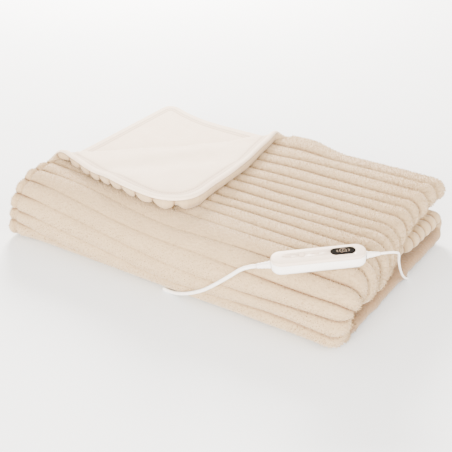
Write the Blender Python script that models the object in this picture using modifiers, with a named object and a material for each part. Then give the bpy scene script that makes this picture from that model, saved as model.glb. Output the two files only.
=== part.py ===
"""Electric heated blanket, folded into a pack with one corner turned back.

A ribbed plush face panel and a plain white back panel are hemmed together. The doubled
cloth is folded in three, so the pack has six layers. A hand controller with two leads
lies on its front shoulder.

Metres, +Z up. Sizes are worked out in the pack's own frame: x runs along the ribs from
the left hems to the folds at the right end, y from the front fold to the back, and z up
from the surface under the pack. World positions are pack positions less PACK_CENTRE.
"""
from collections import namedtuple
from math import cos, exp, pi, radians, sin, sqrt

import bmesh
import bpy
from mathutils import Matrix, Vector

# ---------------------------------------------------------------- the folded pack
PACK_CENTRE = Vector((0.22526, 0.14861, 0.0))   # middle of the pack's footprint
BACK_EDGE = 0.297          # y of the hems at the back of the top layers
TOP_LEVEL = 0.0695         # z of the middle of the top pair of layers
MIDDLE_LEVEL = 0.0318      # z of the middle of the inner pair
BOTTOM_LEVEL = 0.008       # z of the middle of the bottom pair
SHOULDER_RADIUS = 0.033    # front fold, upper bend
HEEL_RADIUS = 0.019        # front fold, lower bend
BACK_RADIUS = (MIDDLE_LEVEL - BOTTOM_LEVEL) / 2
FRONT_RISE = TOP_LEVEL - BOTTOM_LEVEL - SHOULDER_RADIUS - HEEL_RADIUS

# One way along the section: a straight stretch has turn 0, a bend turns by that many degrees.
Stretch = namedtuple("Stretch", "length turn")
SECTION = (
    Stretch(0.2595, 0),                             # top pair, from its back hem to the front
    Stretch(SHOULDER_RADIUS * radians(90), 90),
    Stretch(FRONT_RISE, 0),
    Stretch(HEEL_RADIUS * radians(90), 90),
    Stretch(0.2376, 0),                             # bottom pair, to the back
    Stretch(BACK_RADIUS * radians(180), 180),
    Stretch(0.2010, 0),                             # inner pair, forward again
)

# ---------------------------------------------------------------- the two panels
PANEL_GAP = 0.0006         # between the face panel and the back panel
BACK_THICKNESS = 0.0015    # white back panel
HALF_PAIR = 0.003          # from the middle of a pair to the joint between its panels
GROOVE = 0.42              # depth of pile left in a groove, as a share of the rib's
RIB = 0.0217               # rib pitch on the flat cloth
CLOSE_RIB = 0.0195         # the pitch on the right, past the ribs that spread at the back
SPREAD = 0.043             # by so much in all
SPREAD_RIBS = 2.6          # and mostly over so many ribs
FAN_LENGTH = 0.25          # the spread is full this far from the left hems
TOP_RIBS = 12
FRONT_RIB = 0.016          # pitch round the front fold, on the pair's middle
FRONT_RIBS = 5

SIDE = 0.4275              # flat cloth from the left hem to the right-hand bend
TURN = 0.02                # cloth in the bend itself
TOTAL = 2 * SIDE + TURN
RIB_POWER = 0.43           # the smaller, the flatter the ribs and the narrower their grooves
TURNED_RADIUS = 0.048      # the turned corner is rounder than the one under it
CORNER_RADIUS = 0.022
HEM_ROUND = 0.006          # over which the face panel comes to its full depth
HEM_EDGE = 0.35            # its depth at the very edge, as a share

# How the doubled cloth ends, along the section. run: distance along it; left: x of its hems;
# x_out: reach of the rib crests at the right; puff: how much wider that bend is than a flat one;
# crest, inner: depth of pile on the outer and the inner layer; relief: 1 where ribs stand out.
End = namedtuple("End", "run left x_out puff crest inner relief")
ENDS = (
    End(0.000, 0.002, 0.443, 0.0000, 0.0118, 0.0085, 1.0),
    End(0.060, 0.002, 0.445, 0.0020, 0.0118, 0.0090, 1.0),
    End(0.115, 0.002, 0.446, 0.0045, 0.0115, 0.0095, 1.0),
    End(0.137, 0.002, 0.447, 0.0048, 0.0115, 0.0095, 1.0),
    End(0.165, 0.002, 0.451, 0.0165, 0.0115, 0.0095, 1.0),
    End(0.185, 0.001, 0.454, 0.0180, 0.0115, 0.0095, 1.0),
    End(0.229, 0.000, 0.458, 0.0180, 0.0112, 0.0090, 1.0),
    End(0.266, 0.001, 0.459, 0.0085, 0.0095, 0.0070, 0.9),
    End(0.289, -0.001, 0.458, 0.0060, 0.0097, 0.0060, 0.9),
    End(0.319, -0.006, 0.455, 0.0025, 0.0118, 0.0050, 1.0),
    End(0.339, -0.010, 0.448, 0.0005, 0.0120, 0.0040, 1.0),
    End(0.366, -0.008, 0.450, 0.0000, 0.0054, 0.0030, 0.0),
    End(0.584, -0.004, 0.453, 0.0000, 0.0054, 0.0030, 0.0),
    End(0.604, -0.003, 0.449, 0.0000, 0.0070, 0.0030, 0.5),
    End(0.644, -0.002, 0.449, 0.0000, 0.0080, 0.0045, 1.0),
    End(0.686, -0.002, 0.448, 0.0000, 0.0080, 0.0045, 1.0),
    End(0.712, -0.002, 0.444, 0.0000, 0.0080, 0.0045, 1.0),
    End(0.735, -0.002, 0.424, 0.0000, 0.0070, 0.0045, 0.6),
    End(0.775, 0.000, 0.366, 0.0000, 0.0060, 0.0045, 0.0),
    End(0.839, 0.000, 0.355, 0.0000, 0.0070, 0.0060, 0.0),
)
EASE = 0.007
PUFF_RETURN = 0.045        # length over which a wide bend closes again
BOXY = 70.0                # a wide bend is squarer than a round one

# ---------------------------------------------------------------- uneven lie
CORNER_DRAW = 0.031        # the back left corner is drawn out
CORNER_DRAW_LENGTH = 0.11
DRAW_FROM = 0.14           # from this y backwards
DRAW_EASE = 0.15
BACK_DROOP = 0.012         # the top pair droops over its back edge
DROOP_RUN = 0.08
DROOP_FROM = 0.25
DROOP_EASE = 0.06
EDGE_LIFT = 0.0042         # the bottom pair's right edge is off the surface
LIFT_FROM = 0.395
LIFT_EASE = 0.03
BOTTOM_START = 0.345       # the bottom pair's part of the section
BOTTOM_END = 0.60
BOTTOM_EASE = 0.025
FLARE = 0.006              # the lowest ribs spread at their left ends
FLARE_LENGTH = 0.06
FLARE_MOST = 1.2           # as a share of that, for hems that lie farther out
FLARE_HEIGHT = 0.03        # below this height
FLARE_EASE = 0.02
FLARE_DEPTH = 0.05         # and so far behind the front
SWAY = 0.0015              # the ribs wander by this much
SWAY_TURNS = 21.0
SWAY_SHIFT = 1.9           # from one rib to the next
SWAY_END = 16.0            # up to this rib
SWAY_EASE = 2.0
FRONT_FLAT = 0.62          # the ribs are stretched flatter round the front by this share
FLAT_FROM = 8.6            # from this rib on
FLAT_RIBS = 2.2
FLAT_LEFT = 0.012          # between these distances from the left hems
FLAT_RIGHT = 0.27
FLAT_EASE = 0.05
FLAT_FADE = 0.11
FLAP_BOW = 0.018           # the turned corner's left hem bows outward
FLAP_BOW_WAY = Vector((-0.75, -0.66))
FLAP_BOW_WIDTH = 0.10
FLAP_BOW_SKEW = 1.6        # and mostly towards the corner

# ---------------------------------------------------------------- the turned-back corner
CREASE_LEFT = Vector((0.0, 0.046))      # where the crease meets the left hem, on the flat cloth
CREASE_BACK = Vector((0.228, 0.297))    # and the back hem
FLAP_TIP = Vector((0.2525, 0.0285))       # where the corner lies, before its rounding
ROLL_LEFT = 0.0150                      # radius of the crease at the left hem
ROLL_MIDDLE = 0.0058                    # in its middle
ROLL_BACK = 0.0105                      # and at the back hem
FLAP_RIDGE = 0.0040                     # past the crease a soft ridge rises by this much
RIDGE_AT = 0.024
RIDGE_WIDTH = 0.014
TROUGH = 0.0045                         # and past that the cloth sinks by this much
TROUGH_AT = 0.062
TROUGH_WIDTH = 0.022
CONTACT = 0.0238                        # layer on layer, rib crest on rib crest
SETTLE = 0.10                           # the corner settles to that over this length
PRESS_GAP = 0.0014                      # left between the piles that are pressed together

# ---------------------------------------------------------------- where the mesh has its edges
NORMAL_STEP = 0.0004       # for reading the cloth's slope
HEM_COLUMNS = (0.0015, 0.006)
TOP_COLUMNS = (0.08, 0.16, 0.22, 0.28, 0.34, 0.395)
TURN_STEPS = 6
RETURN_COLUMNS = (0.012, 0.028)
RIBS_FADE = 0.016          # the ribs fade out past the bend over this length
ROWS_PER_RIB = 4
LATE_RUNS = (0.379, 0.434, 0.504, 0.569, 0.655, 0.69, 0.715, 0.74, 0.765, 0.795)
INNER_START = 0.604
INNER_END = 0.744
INNER_RIBS = 0.395         # on the inner pair the ribs stand out only from here to its bend
INNER_EASE = 0.02
BACK_BEND_STEPS = 5
CREASE_CUTS = (0.0, 0.0055, 0.011, 0.0165, 0.0225, 0.030, 0.0425, 0.060, 0.080, 0.105)

# ---------------------------------------------------------------- the controller
CONTROL_AT = Vector((0.4090, 0.0200, 0.0896))
CONTROL_YAW = radians(37.7)
CONTROL_PITCH = radians(3.9)            # right end up
CONTROL_ROLL = radians(5.0)             # towards the front
CONTROL_SIZE = Vector((0.0970, 0.0228, 0.0166))
END_ROUND = 0.0108                      # its ends are rounded in plan
COVER_HEIGHT = 0.0042
COVER_ROUND = 0.0018
BASE_ROUND = 0.0045
GAP = 0.0003                            # between pieces that touch
PILL_END = 0.498                        # end radius of an inlay, as a share of its width

# Pieces let in to the cover. along: place from the middle; length, width: outline.
Inlay = namedtuple("Inlay", "name along length width material")
INLAY_DEPTH = 0.0012
INLAY_PROUD = 0.0002
INLAYS = (
    Inlay("display_window", 0.0250, 0.0255, 0.0108, "window"),
    Inlay("key_power", -0.0170, 0.0062, 0.0062, "key"),
    Inlay("key_less", -0.0315, 0.0060, 0.0020, "key"),
    Inlay("key_more", -0.0021, 0.0050, 0.0020, "key"),
)

# ---------------------------------------------------------------- the leads
BLANKET_LEAD = 0.0042      # diameters
SUPPLY_LEAD = 0.0026
RELIEF_LENGTH = 0.0145
LEAD_GAP = 0.0005
LEAD_START = 0.005         # a lead leaves its relief straight for this length
RELIEF_ROOT = 0.0040       # radius at the controller
TIP_WALL = 0.0005          # wall round the lead at its tip
RELIEF_RINGS = 4
RING_CUT = 0.0004          # depth of the cut between two rings
RING_SHARES = (0.62, 0.72, 0.92)    # of a ring's pitch: its end, and the cut's start and end
ROUTE_STEP = 0.0072        # between the points read from a lead's smooth curve
CURVE_STEPS = 40           # finer points between two of a route's

# Where each lead runs, in centimetres of the pack's frame.
BLANKET_ROUTE = (
    (35.17, -2.32, 8.36), (34.83, -2.40, 8.21), (34.54, -2.41, 7.99), (34.05, -2.35, 7.58),
    (32.80, -2.03, 6.32), (31.50, -1.76, 5.08), (30.40, -1.63, 4.07),
    (29.30, -1.52, 3.15), (28.20, -1.38, 2.37), (27.05, -1.20, 1.67), (26.10, -1.02, 1.17),
    (25.25, -0.78, 0.75), (24.60, -0.57, 0.45), (23.95, -0.41, 0.28), (23.35, -0.32, 0.22),
    (22.80, -0.27, 0.22),
)
SUPPLY_ROUTE = (
    (46.78, 6.90, 9.30), (47.06, 7.72, 8.90), (46.86, 8.66, 8.08), (46.55, 9.55, 7.10), (46.35, 10.25, 6.20),
    (46.15, 11.30, 4.85), (45.95, 12.60, 3.35), (45.75, 13.95, 2.15), (45.55, 15.30, 1.20),
    (45.30, 16.35, 0.52), (44.85, 17.40, 0.20), (44.10, 18.90, 0.145), (43.45, 21.00, 0.145),
    (43.10, 24.00, 0.145), (42.70, 27.00, 0.145), (41.90, 29.60, 0.145), (40.30, 31.40, 0.145),
    (38.20, 32.40, 0.30), (36.67, 33.05, 0.60),
)
COIL_AT = Vector((0.3500, 0.3460, 0.0060))
COIL_RADIUS = 0.0155       # to the middle of its turns
COIL_WIDTH = 0.0130        # five turns side by side
COIL_HEIGHT = 0.0078       # three turns deep
TIE_THICKNESS = 0.0014
TIE_ANGLE = radians(250)
TIE_POINTS = 20
TAIL_ROUTE = ((33.00, 33.52, 0.58), (32.10, 33.15, 0.45), (31.10, 32.95, 0.42), (29.80, 32.95, 0.42))
PLUG_AT = Vector((0.2980, 0.3295, 0.0042))
GRIP_SIZE = Vector((0.024, 0.0155, 0.0080))
SHELL_SIZE = Vector((0.0145, 0.0120, 0.0045))
GRIP_CORNER = 0.003        # in plan
GRIP_ROUND = 0.0015        # along its rims
SHELL_CORNER = 0.0006


def smooth(share):
    """Ease from 0 to 1."""
    share = min(max(share, 0.0), 1.0)
    return share * share * (3.0 - 2.0 * share)


def mix(start, end, share):
    return start + (end - start) * share


def row_at(run):
    """The row of ENDS that holds at this distance along the section."""
    if run <= ENDS[0].run:
        return ENDS[0]
    for near, far in zip(ENDS, ENDS[1:]):
        if run <= far.run:
            share = (run - near.run) / (far.run - near.run)
            return End(*(mix(a, b, share) for a, b in zip(near, far)))
    return ENDS[-1]


def end_at(run):
    """The same, eased over the kinks between the rows."""
    rows = [row_at(run + step * EASE) for step in (-1, 0, 1)]
    return End(*(sum(values) / 3 for values in zip(*rows)))


def section_at(run):
    """Point (y, z) on the middle of the pair, and the direction out of the fold there."""
    y, z, heading = BACK_EDGE, TOP_LEVEL, 0.0
    for number, stretch in enumerate(SECTION):
        last = number == len(SECTION) - 1
        step = run if last else min(run, stretch.length)
        if stretch.turn:
            radius = stretch.length / radians(stretch.turn)
            centre_y = y + sin(heading) * radius
            centre_z = z - cos(heading) * radius
            heading += step / radius
            y = centre_y - sin(heading) * radius
            z = centre_z + cos(heading) * radius
        else:
            y -= cos(heading) * step
            z -= sin(heading) * step
        run -= step
        if run <= 0.0:
            break
    return y, z, -sin(heading), cos(heading)


def run_at(rib, x):
    """Distance along the section of a place counted in ribs from the back hem."""
    top = min(rib, TOP_RIBS)
    spread = CLOSE_RIB * top + SPREAD * (1.0 - exp(-top / SPREAD_RIBS)) + SWAY * sway(rib, x)
    return mix(RIB * top, spread, smooth(x / FAN_LENGTH)) + FRONT_RIB * max(rib - TOP_RIBS, 0.0)


def sway(rib, x):
    """The ribs' unevenness, from -1 to 1. It is none at the back hem."""
    shown = smooth(rib / SWAY_EASE) * (1.0 - smooth((rib - SWAY_END) / SWAY_EASE))
    return sin(SWAY_TURNS * x + SWAY_SHIFT * rib) * shown


def rib_at(run):
    """The rib count at a place past the front fold, where the ribs are fully spread."""
    return TOP_RIBS + (run - run_at(TOP_RIBS, FAN_LENGTH)) / FRONT_RIB


def folded(along, rib):
    """Joint between the panels, at a place on the flat cloth, before the corner is turned."""
    run = run_at(rib, min(along, TOTAL - along))
    end = end_at(run)
    y, z, out_y, out_z = section_at(run)
    radius = HALF_PAIR + end.puff
    x_turn = end.x_out - radius - end.crest
    past = along - SIDE - TURN
    if along <= SIDE:
        x, offset = mix(end.left, x_turn, along / SIDE), HALF_PAIR
    elif past < 0.0:
        angle = pi * (along - SIDE) / TURN
        power = 2.0 + BOXY * end.puff
        square = (abs(sin(angle)) ** power + abs(cos(angle)) ** power) ** (-1.0 / power)
        x = x_turn + radius * sin(angle) * square
        offset = HALF_PAIR - radius * (1.0 - cos(angle) * square)
    else:
        x = mix(x_turn, end.left, past / SIDE)
        offset = -HALF_PAIR - 2.0 * end.puff * (1.0 - smooth(past / PUFF_RETURN))
    y += offset * out_y
    z += offset * out_z

    drawn = max(1.0 - x / CORNER_DRAW_LENGTH, 0.0)
    y += CORNER_DRAW * min(drawn, 1.0) ** 2 * smooth((y - DRAW_FROM) / DRAW_EASE)
    droop = max(1.0 - run / DROOP_RUN, 0.0)
    z -= BACK_DROOP * min(droop, 1.0) ** 2 * smooth((x - DROOP_FROM) / DROOP_EASE)
    bottom = smooth((run - BOTTOM_START) / BOTTOM_EASE) * (1.0 - smooth((run - BOTTOM_END) / BOTTOM_EASE))
    z += edge_lift(x) * bottom
    flare = min(max(1.0 - x / FLARE_LENGTH, 0.0), FLARE_MOST) ** 2
    y -= FLARE * flare * smooth((FLARE_HEIGHT - z) / FLARE_EASE) * (1.0 - smooth(y / FLARE_DEPTH))
    return Vector((x, y, z))


def edge_lift(x):
    """How far the bottom pair's right edge is off the surface."""
    return EDGE_LIFT * smooth((x - LIFT_FROM) / LIFT_EASE)


CREASE_LINE = (CREASE_BACK - CREASE_LEFT).normalized()
CREASE_OUT = Vector((-CREASE_LINE.y, CREASE_LINE.x))
CREASE_LENGTH = (CREASE_BACK - CREASE_LEFT).length


def from_crease(along, rib):
    """Distance past the crease, its foot, the roll there and how far along the crease it is."""
    place = Vector((along, BACK_EDGE - RIB * rib))
    past = (place - CREASE_LEFT).dot(CREASE_OUT)
    foot = place - CREASE_OUT * past
    share = min(max((foot - CREASE_LEFT).dot(CREASE_LINE) / CREASE_LENGTH, 0.0), 1.0)
    roll = mix(ROLL_MIDDLE, mix(ROLL_LEFT, ROLL_BACK, share), (2.0 * share - 1.0) ** 4)
    return past, foot, roll, share


def crease_foot(foot):
    return folded(foot.x, (BACK_EDGE - foot.y) / RIB)


def flap_pull():
    """How the flat corner is carried over: world distance for each metre past the crease."""
    past, foot, roll, _ = from_crease(0.0, 0.0)
    start = crease_foot(foot)
    return (FLAP_TIP - Vector((start.x, start.y))) / (past - pi * roll)


FLAP_PULL = flap_pull()
FLAP_DEPTH = -FLAP_PULL.dot(CREASE_OUT)
FLAP_REST = from_crease(0.0, 0.0)[0] - pi * ROLL_MIDDLE


def flap_gap(from_line, roll, share):
    """Height of the turned cloth over the layer under it, joint to joint."""
    ridge = FLAP_RIDGE * exp(-((from_line - RIDGE_AT) / RIDGE_WIDTH) ** 2)
    trough = TROUGH * exp(-((from_line - TROUGH_AT) / TROUGH_WIDTH) ** 2)
    settled = mix(2.0 * roll, CONTACT, smooth(from_line / SETTLE))
    return settled + (ridge - trough) * sin(pi * share) ** 2


def cloth(along, rib):
    """Joint between the two panels, for a place on the flat cloth."""
    if along >= SIDE or rib > TOP_RIBS:
        return folded(along, rib)
    past, foot, roll, share = from_crease(along, rib)
    if past <= 0.0:
        return folded(along, rib)
    start = crease_foot(foot)
    if past < pi * roll:
        angle = past / roll
        bulge = CREASE_OUT * roll * sin(angle)
        return start + Vector((bulge.x, bulge.y, roll * (1.0 - cos(angle))))
    rest = past - pi * roll
    over = FLAP_PULL * rest + flap_bow(along, rest)
    return start + Vector((over.x, over.y, flap_gap(rest * FLAP_DEPTH, roll, share)))


def flap_bow(along, rest):
    """The turned corner's left hem bows outward between the crease and the corner."""
    share = min(rest / FLAP_REST, 1.0)
    near = 1.0 - smooth(along / FLAP_BOW_WIDTH)
    return FLAP_BOW_WAY * FLAP_BOW * sin(pi * share ** FLAP_BOW_SKEW) * near


def outward(along, rib):
    """Unit vector from the joint between the panels towards the ribbed side."""
    step = NORMAL_STEP / RIB
    across = cloth(along, rib + step) - cloth(along, rib - step)
    length = cloth(along + NORMAL_STEP, rib) - cloth(along - NORMAL_STEP, rib)
    return across.cross(length).normalized()


def hem_share(along, rib):
    """Depth of the face panel near its edge, as a share: it is rounded off."""
    inward = min(min(along, TOTAL - along, rib * RIB) / HEM_ROUND, 1.0)
    return mix(HEM_EDGE, 1.0, sqrt(1.0 - (1.0 - inward) ** 2))


def rib_round(rib):
    """Height across a rib, from 0 in its grooves to 1. The first one is full up to its hem."""
    return 1.0 if rib < 0.5 else abs(sin(pi * rib)) ** RIB_POWER


def rib_relief(along, rib, end):
    """1 where the ribs stand out, and 0 where they are pressed flat."""
    past = along - SIDE - TURN
    relief = end.relief * (1.0 - smooth((past - RETURN_COLUMNS[0]) / RIBS_FADE))
    if rib > TOP_RIBS + FRONT_RIBS:
        relief *= smooth((along - INNER_RIBS) / INNER_EASE)
    stretched = smooth((rib - FLAT_FROM) / FLAT_RIBS) * smooth((along - FLAT_LEFT) / FLAT_EASE)
    stretched *= 1.0 - smooth((along - FLAT_RIGHT) / FLAT_FADE)
    return relief * (1.0 - FRONT_FLAT * stretched)


def pile_depth(along, rib):
    """Thickness of the face panel at a place on the flat cloth."""
    end = end_at(run_at(rib, min(along, TOTAL - along)))
    past = along - SIDE - TURN
    crest = mix(end.crest, end.inner, smooth((past + TURN / 2) / (TURN / 2)))
    relief = rib_relief(along, rib, end)
    crest *= hem_share(along, rib)
    if along < SIDE and rib <= TOP_RIBS:
        past_crease, _, roll, share = from_crease(along, rib)
        if past_crease > 0.0:
            rest = max(past_crease - pi * roll, 0.0) * FLAP_DEPTH
        else:
            rest = -past_crease
        crest = min(crest, (flap_gap(rest, roll, share) - PRESS_GAP) / 2)
    return crest * (1.0 - relief * (1.0 - GROOVE) * (1.0 - rib_round(rib)))


def rounded_corner(along, rib):
    """Draw the cloth's square corners at the back in to a round."""
    edge_a = min(along, TOTAL - along)
    edge_b = rib * RIB
    radius = TURNED_RADIUS if along < SIDE else CORNER_RADIUS
    if edge_a >= radius or edge_b >= radius:
        return along, rib
    inward = Vector((radius - edge_a, radius - edge_b))
    inward *= max(inward) / inward.length
    edge_a, edge_b = radius - inward.x, radius - inward.y
    return (edge_a if along < SIDE else TOTAL - edge_a), edge_b / RIB


# ---------------------------------------------------------------- building helpers
def clear_scene():
    for found in list(bpy.data.objects):
        bpy.data.objects.remove(found, do_unlink=True)


def new_collection(name, hidden=False):
    made = bpy.data.collections.new(name)
    bpy.context.scene.collection.children.link(made)
    made.hide_render = hidden
    return made


def new_material(name, colour, roughness, metallic=0.0):
    made = bpy.data.materials.new(name)
    made.use_nodes = True
    shader = made.node_tree.nodes["Principled BSDF"]
    shader.inputs["Base Color"].default_value = (*colour, 1.0)
    shader.inputs["Roughness"].default_value = roughness
    shader.inputs["Metallic"].default_value = metallic
    made.diffuse_color = (*colour, 1.0)
    return made


def add_object(name, data, collection, material=None):
    made = bpy.data.objects.new(name, data)
    collection.objects.link(made)
    if material:
        data.materials.append(material)
    return made


def mesh_from(bm, name):
    mesh = bpy.data.meshes.new(name)
    bm.to_mesh(mesh)
    bm.free()
    return mesh


# ---------------------------------------------------------------- the blanket
def cut(bm, point, normal, faces=None):
    """Cut the slab, or only these faces of it, along a plane."""
    if faces is None:
        geometry = bm.verts[:] + bm.edges[:] + bm.faces[:]
    else:
        edges = {edge for face in faces for edge in face.edges}
        verts = {vert for face in faces for vert in face.verts}
        geometry = list(verts) + list(edges) + list(faces)
    bmesh.ops.bisect_plane(bm, geom=geometry, dist=1e-6, plane_co=point, plane_no=normal)


def columns():
    """Distances along the ribs at which the cloth has edges."""
    left = list(HEM_COLUMNS) + list(TOP_COLUMNS)
    turn = [SIDE + TURN * step / TURN_STEPS for step in range(TURN_STEPS + 1)]
    back = [SIDE + TURN + place for place in RETURN_COLUMNS]
    return left + turn + back + [TOTAL - place for place in left[:-1]]


def coarse_rows():
    """Rib counts at which both sides of a panel have edges."""
    top = [0.5] + list(range(1, TOP_RIBS + 1))
    front = [TOP_RIBS + step / 2 for step in range(1, 2 * FRONT_RIBS + 1)]
    bend_start = sum(stretch.length for stretch in SECTION[:5])
    bend = [bend_start + SECTION[5].length * step / BACK_BEND_STEPS for step in range(BACK_BEND_STEPS + 1)]
    return top + front + [rib_at(run) for run in sorted(LATE_RUNS + tuple(bend))]


LAST_RIB = rib_at(sum(stretch.length for stretch in SECTION))
SLAB = 0.01                # height of the flat slab that a panel is cut from


def flat_y(rib):
    return BACK_EDGE - RIB * rib


def flat_panel(ribbed):
    """The flat cloth as a slab, cut into the faces that its folds and ribs need."""
    bm = bmesh.new()
    bmesh.ops.create_cube(bm, size=1.0)
    y_low = flat_y(LAST_RIB)
    size = Vector((TOTAL, BACK_EDGE - y_low, SLAB))
    bmesh.ops.scale(bm, vec=size, verts=bm.verts)
    bmesh.ops.translate(bm, vec=Vector((TOTAL, BACK_EDGE + y_low, SLAB)) / 2, verts=bm.verts)
    for along in columns():
        cut(bm, (along, 0, 0), (1, 0, 0))
    for rib in coarse_rows():
        cut(bm, (0, flat_y(rib), 0), (0, 1, 0))
    if ribbed:
        limit = SIDE + TURN + RETURN_COLUMNS[1]
        inner = rib_at(INNER_START), rib_at(INNER_END)
        for step in range(1, int(ROWS_PER_RIB * inner[1])):
            rib = step / ROWS_PER_RIB
            if TOP_RIBS + FRONT_RIBS < rib < inner[0]:
                continue
            start = 0.0 if rib < inner[0] else INNER_RIBS
            upper = [face for face in bm.faces if face.normal.z > 0.5
                     and start < face.calc_center_median().x < limit]
            cut(bm, (0, flat_y(rib), 0), (0, 1, 0), upper)
    for past in CREASE_CUTS:
        point = CREASE_LEFT + CREASE_OUT * past
        near = [face for face in bm.faces if abs(face.normal.z) > 0.5
                and face.calc_center_median().x < TOP_COLUMNS[4]
                and face.calc_center_median().y > flat_y(TOP_RIBS)]
        cut(bm, (*point, 0), (*CREASE_OUT, 0), near)
    split_quads(bm)
    return bm


def split_quads(bm):
    """Cut every face into triangles, the quads all along the same diagonal."""
    for face in bm.faces[:]:
        if len(face.verts) == 4:
            reach = [vert.co.x + vert.co.y for vert in face.verts]
            first = reach.index(min(reach))
            bmesh.utils.face_split(face, face.verts[first], face.verts[(first + 2) % 4])
    bmesh.ops.triangulate(bm, faces=bm.faces[:])


def blanket_panel(name, ribbed, collection, material):
    """Fold one flat panel. The ribbed one lies outside the joint, the plain one inside it."""
    bm = flat_panel(ribbed)
    for vert in bm.verts:
        along, rib = rounded_corner(vert.co.x, (BACK_EDGE - vert.co.y) / RIB)
        upper = vert.co.z > SLAB / 2
        point = cloth(along, rib)
        normal = outward(along, rib)
        if ribbed:
            depth = pile_depth(along, rib) if upper else PANEL_GAP / 2
            if normal.z < 0.0 and upper:
                depth = min(depth, (point.z - edge_lift(point.x)) / -normal.z)
        else:
            depth = -PANEL_GAP / 2 if upper else -PANEL_GAP / 2 - BACK_THICKNESS
        vert.co = point + normal * depth - PACK_CENTRE
    mesh = mesh_from(bm, name)
    mesh.shade_smooth()
    return add_object(name, mesh, collection, material)


# ---------------------------------------------------------------- the controller
def pill_block(name, size, end_round, collection, material):
    """A block with rounded ends in plan, its foot at z = 0."""
    bm = bmesh.new()
    bmesh.ops.create_cube(bm, size=1.0)
    bmesh.ops.scale(bm, vec=size, verts=bm.verts)
    bmesh.ops.translate(bm, vec=(0, 0, size.z / 2), verts=bm.verts)
    upright = [edge for edge in bm.edges if abs(edge.verts[0].co.z - edge.verts[1].co.z) > size.z / 2]
    bmesh.ops.bevel(bm, geom=upright, offset=end_round, segments=6, profile=0.5, affect="EDGES")
    bmesh.ops.remove_doubles(bm, verts=bm.verts, dist=1e-6)
    return add_object(name, mesh_from(bm, name), collection, material)


def round_rim(block, radius, segments, upper):
    """Round the block's upper or lower rim."""
    bm = bmesh.new()
    bm.from_mesh(block.data)
    level = max(vert.co.z for vert in bm.verts) if upper else min(vert.co.z for vert in bm.verts)
    rim = [edge for edge in bm.edges if all(abs(vert.co.z - level) < 1e-6 for vert in edge.verts)]
    bmesh.ops.bevel(bm, geom=rim, offset=radius, segments=segments, profile=0.5, affect="EDGES")
    bm.to_mesh(block.data)
    bm.free()
    smooth_by_angle(block.data)


def smooth_by_angle(mesh):
    mesh.shade_smooth()
    mesh.set_sharp_from_angle(angle=radians(35))


def build_controller(parts, cutters, materials):
    pose = add_object("controller_pose", None, parts)
    pose.matrix_world = (
        Matrix.Translation(CONTROL_AT - PACK_CENTRE)
        @ Matrix.Rotation(CONTROL_YAW, 4, "Z")
        @ Matrix.Rotation(-CONTROL_PITCH, 4, "Y")
        @ Matrix.Rotation(CONTROL_ROLL, 4, "X")
    )
    length, width, height = CONTROL_SIZE
    base_top = height / 2 - COVER_HEIGHT
    base_size = Vector((length, width, height - COVER_HEIGHT))
    base = pill_block("controller_base", base_size, END_ROUND, parts, materials["shell"])
    base.location.z = -height / 2
    round_rim(base, BASE_ROUND, 5, False)

    cover_size = Vector((length, width, COVER_HEIGHT - GAP))
    cover = pill_block("controller_cover", cover_size, END_ROUND, parts, materials["cover"])
    cover.location.z = base_top + GAP
    round_rim(cover, COVER_ROUND, 3, True)

    inlays = []
    for inlay in INLAYS:
        size = Vector((inlay.length, inlay.width, INLAY_DEPTH))
        piece = pill_block(inlay.name, size, inlay.width * PILL_END, parts, materials[inlay.material])
        piece.location = (inlay.along, 0.0, height / 2 - INLAY_DEPTH + INLAY_PROUD)
        smooth_by_angle(piece.data)
        inlays.append(piece)

        pocket_size = size + Vector((2 * GAP, 2 * GAP, INLAY_DEPTH))
        pocket = pill_block(inlay.name + "_pocket", pocket_size, inlay.width * PILL_END + GAP, cutters, None)
        pocket.location = piece.location - Vector((0.0, 0.0, GAP))
        pocket.display_type = "WIRE"
        pocket.parent = pose
        sink = cover.modifiers.new(inlay.name, "BOOLEAN")
        sink.operation = "DIFFERENCE"
        sink.solver = "EXACT"
        sink.object = pocket

    for name, side in (("relief_blanket", -1), ("relief_supply", 1)):
        relief = strain_relief(name, parts, materials["rubber"], LEADS[name])
        relief.location = (side * (length / 2 + GAP), 0.0, 0.0)
        relief.rotation_euler = (0.0, side * radians(90), 0.0)
        relief.parent = pose
    for piece in [base, cover] + inlays:
        piece.parent = pose
    bpy.context.view_layer.update()
    return pose


LEADS = {"relief_blanket": BLANKET_LEAD, "relief_supply": SUPPLY_LEAD}


def strain_relief(name, collection, material, lead):
    """A tapered sleeve with rings, turned about +Z, from z = 0."""
    tip = lead / 2 + TIP_WALL
    outline = [(0.0, 0.0), (RELIEF_ROOT, 0.0)]
    pitch = RELIEF_LENGTH / RELIEF_RINGS
    for ring in range(RELIEF_RINGS):
        radius = mix(RELIEF_ROOT, tip, (ring + 0.5) / RELIEF_RINGS)
        start = ring * pitch
        for share, cut_in in zip(RING_SHARES, (0.0, RING_CUT, RING_CUT)):
            outline.append((radius - cut_in, start + share * pitch))
    outline += [(tip, RELIEF_LENGTH), (0.0, RELIEF_LENGTH)]
    bm = bmesh.new()
    verts = [bm.verts.new((radius, 0.0, z)) for radius, z in reversed(outline)]
    for near, far in zip(verts, verts[1:]):
        bm.edges.new((near, far))
    sleeve = add_object(name, mesh_from(bm, name), collection, material)
    turned(sleeve, 12)
    return sleeve


def turned(piece, steps):
    spin = piece.modifiers.new("turn", "SCREW")
    spin.axis = "Z"
    spin.steps = steps
    spin.render_steps = steps
    spin.use_merge_vertices = True
    spin.merge_threshold = 0.00001
    spin.use_smooth_shade = True


# ---------------------------------------------------------------- the leads
def from_route(route):
    return [Vector(point) / 100 - PACK_CENTRE for point in route]


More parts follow.
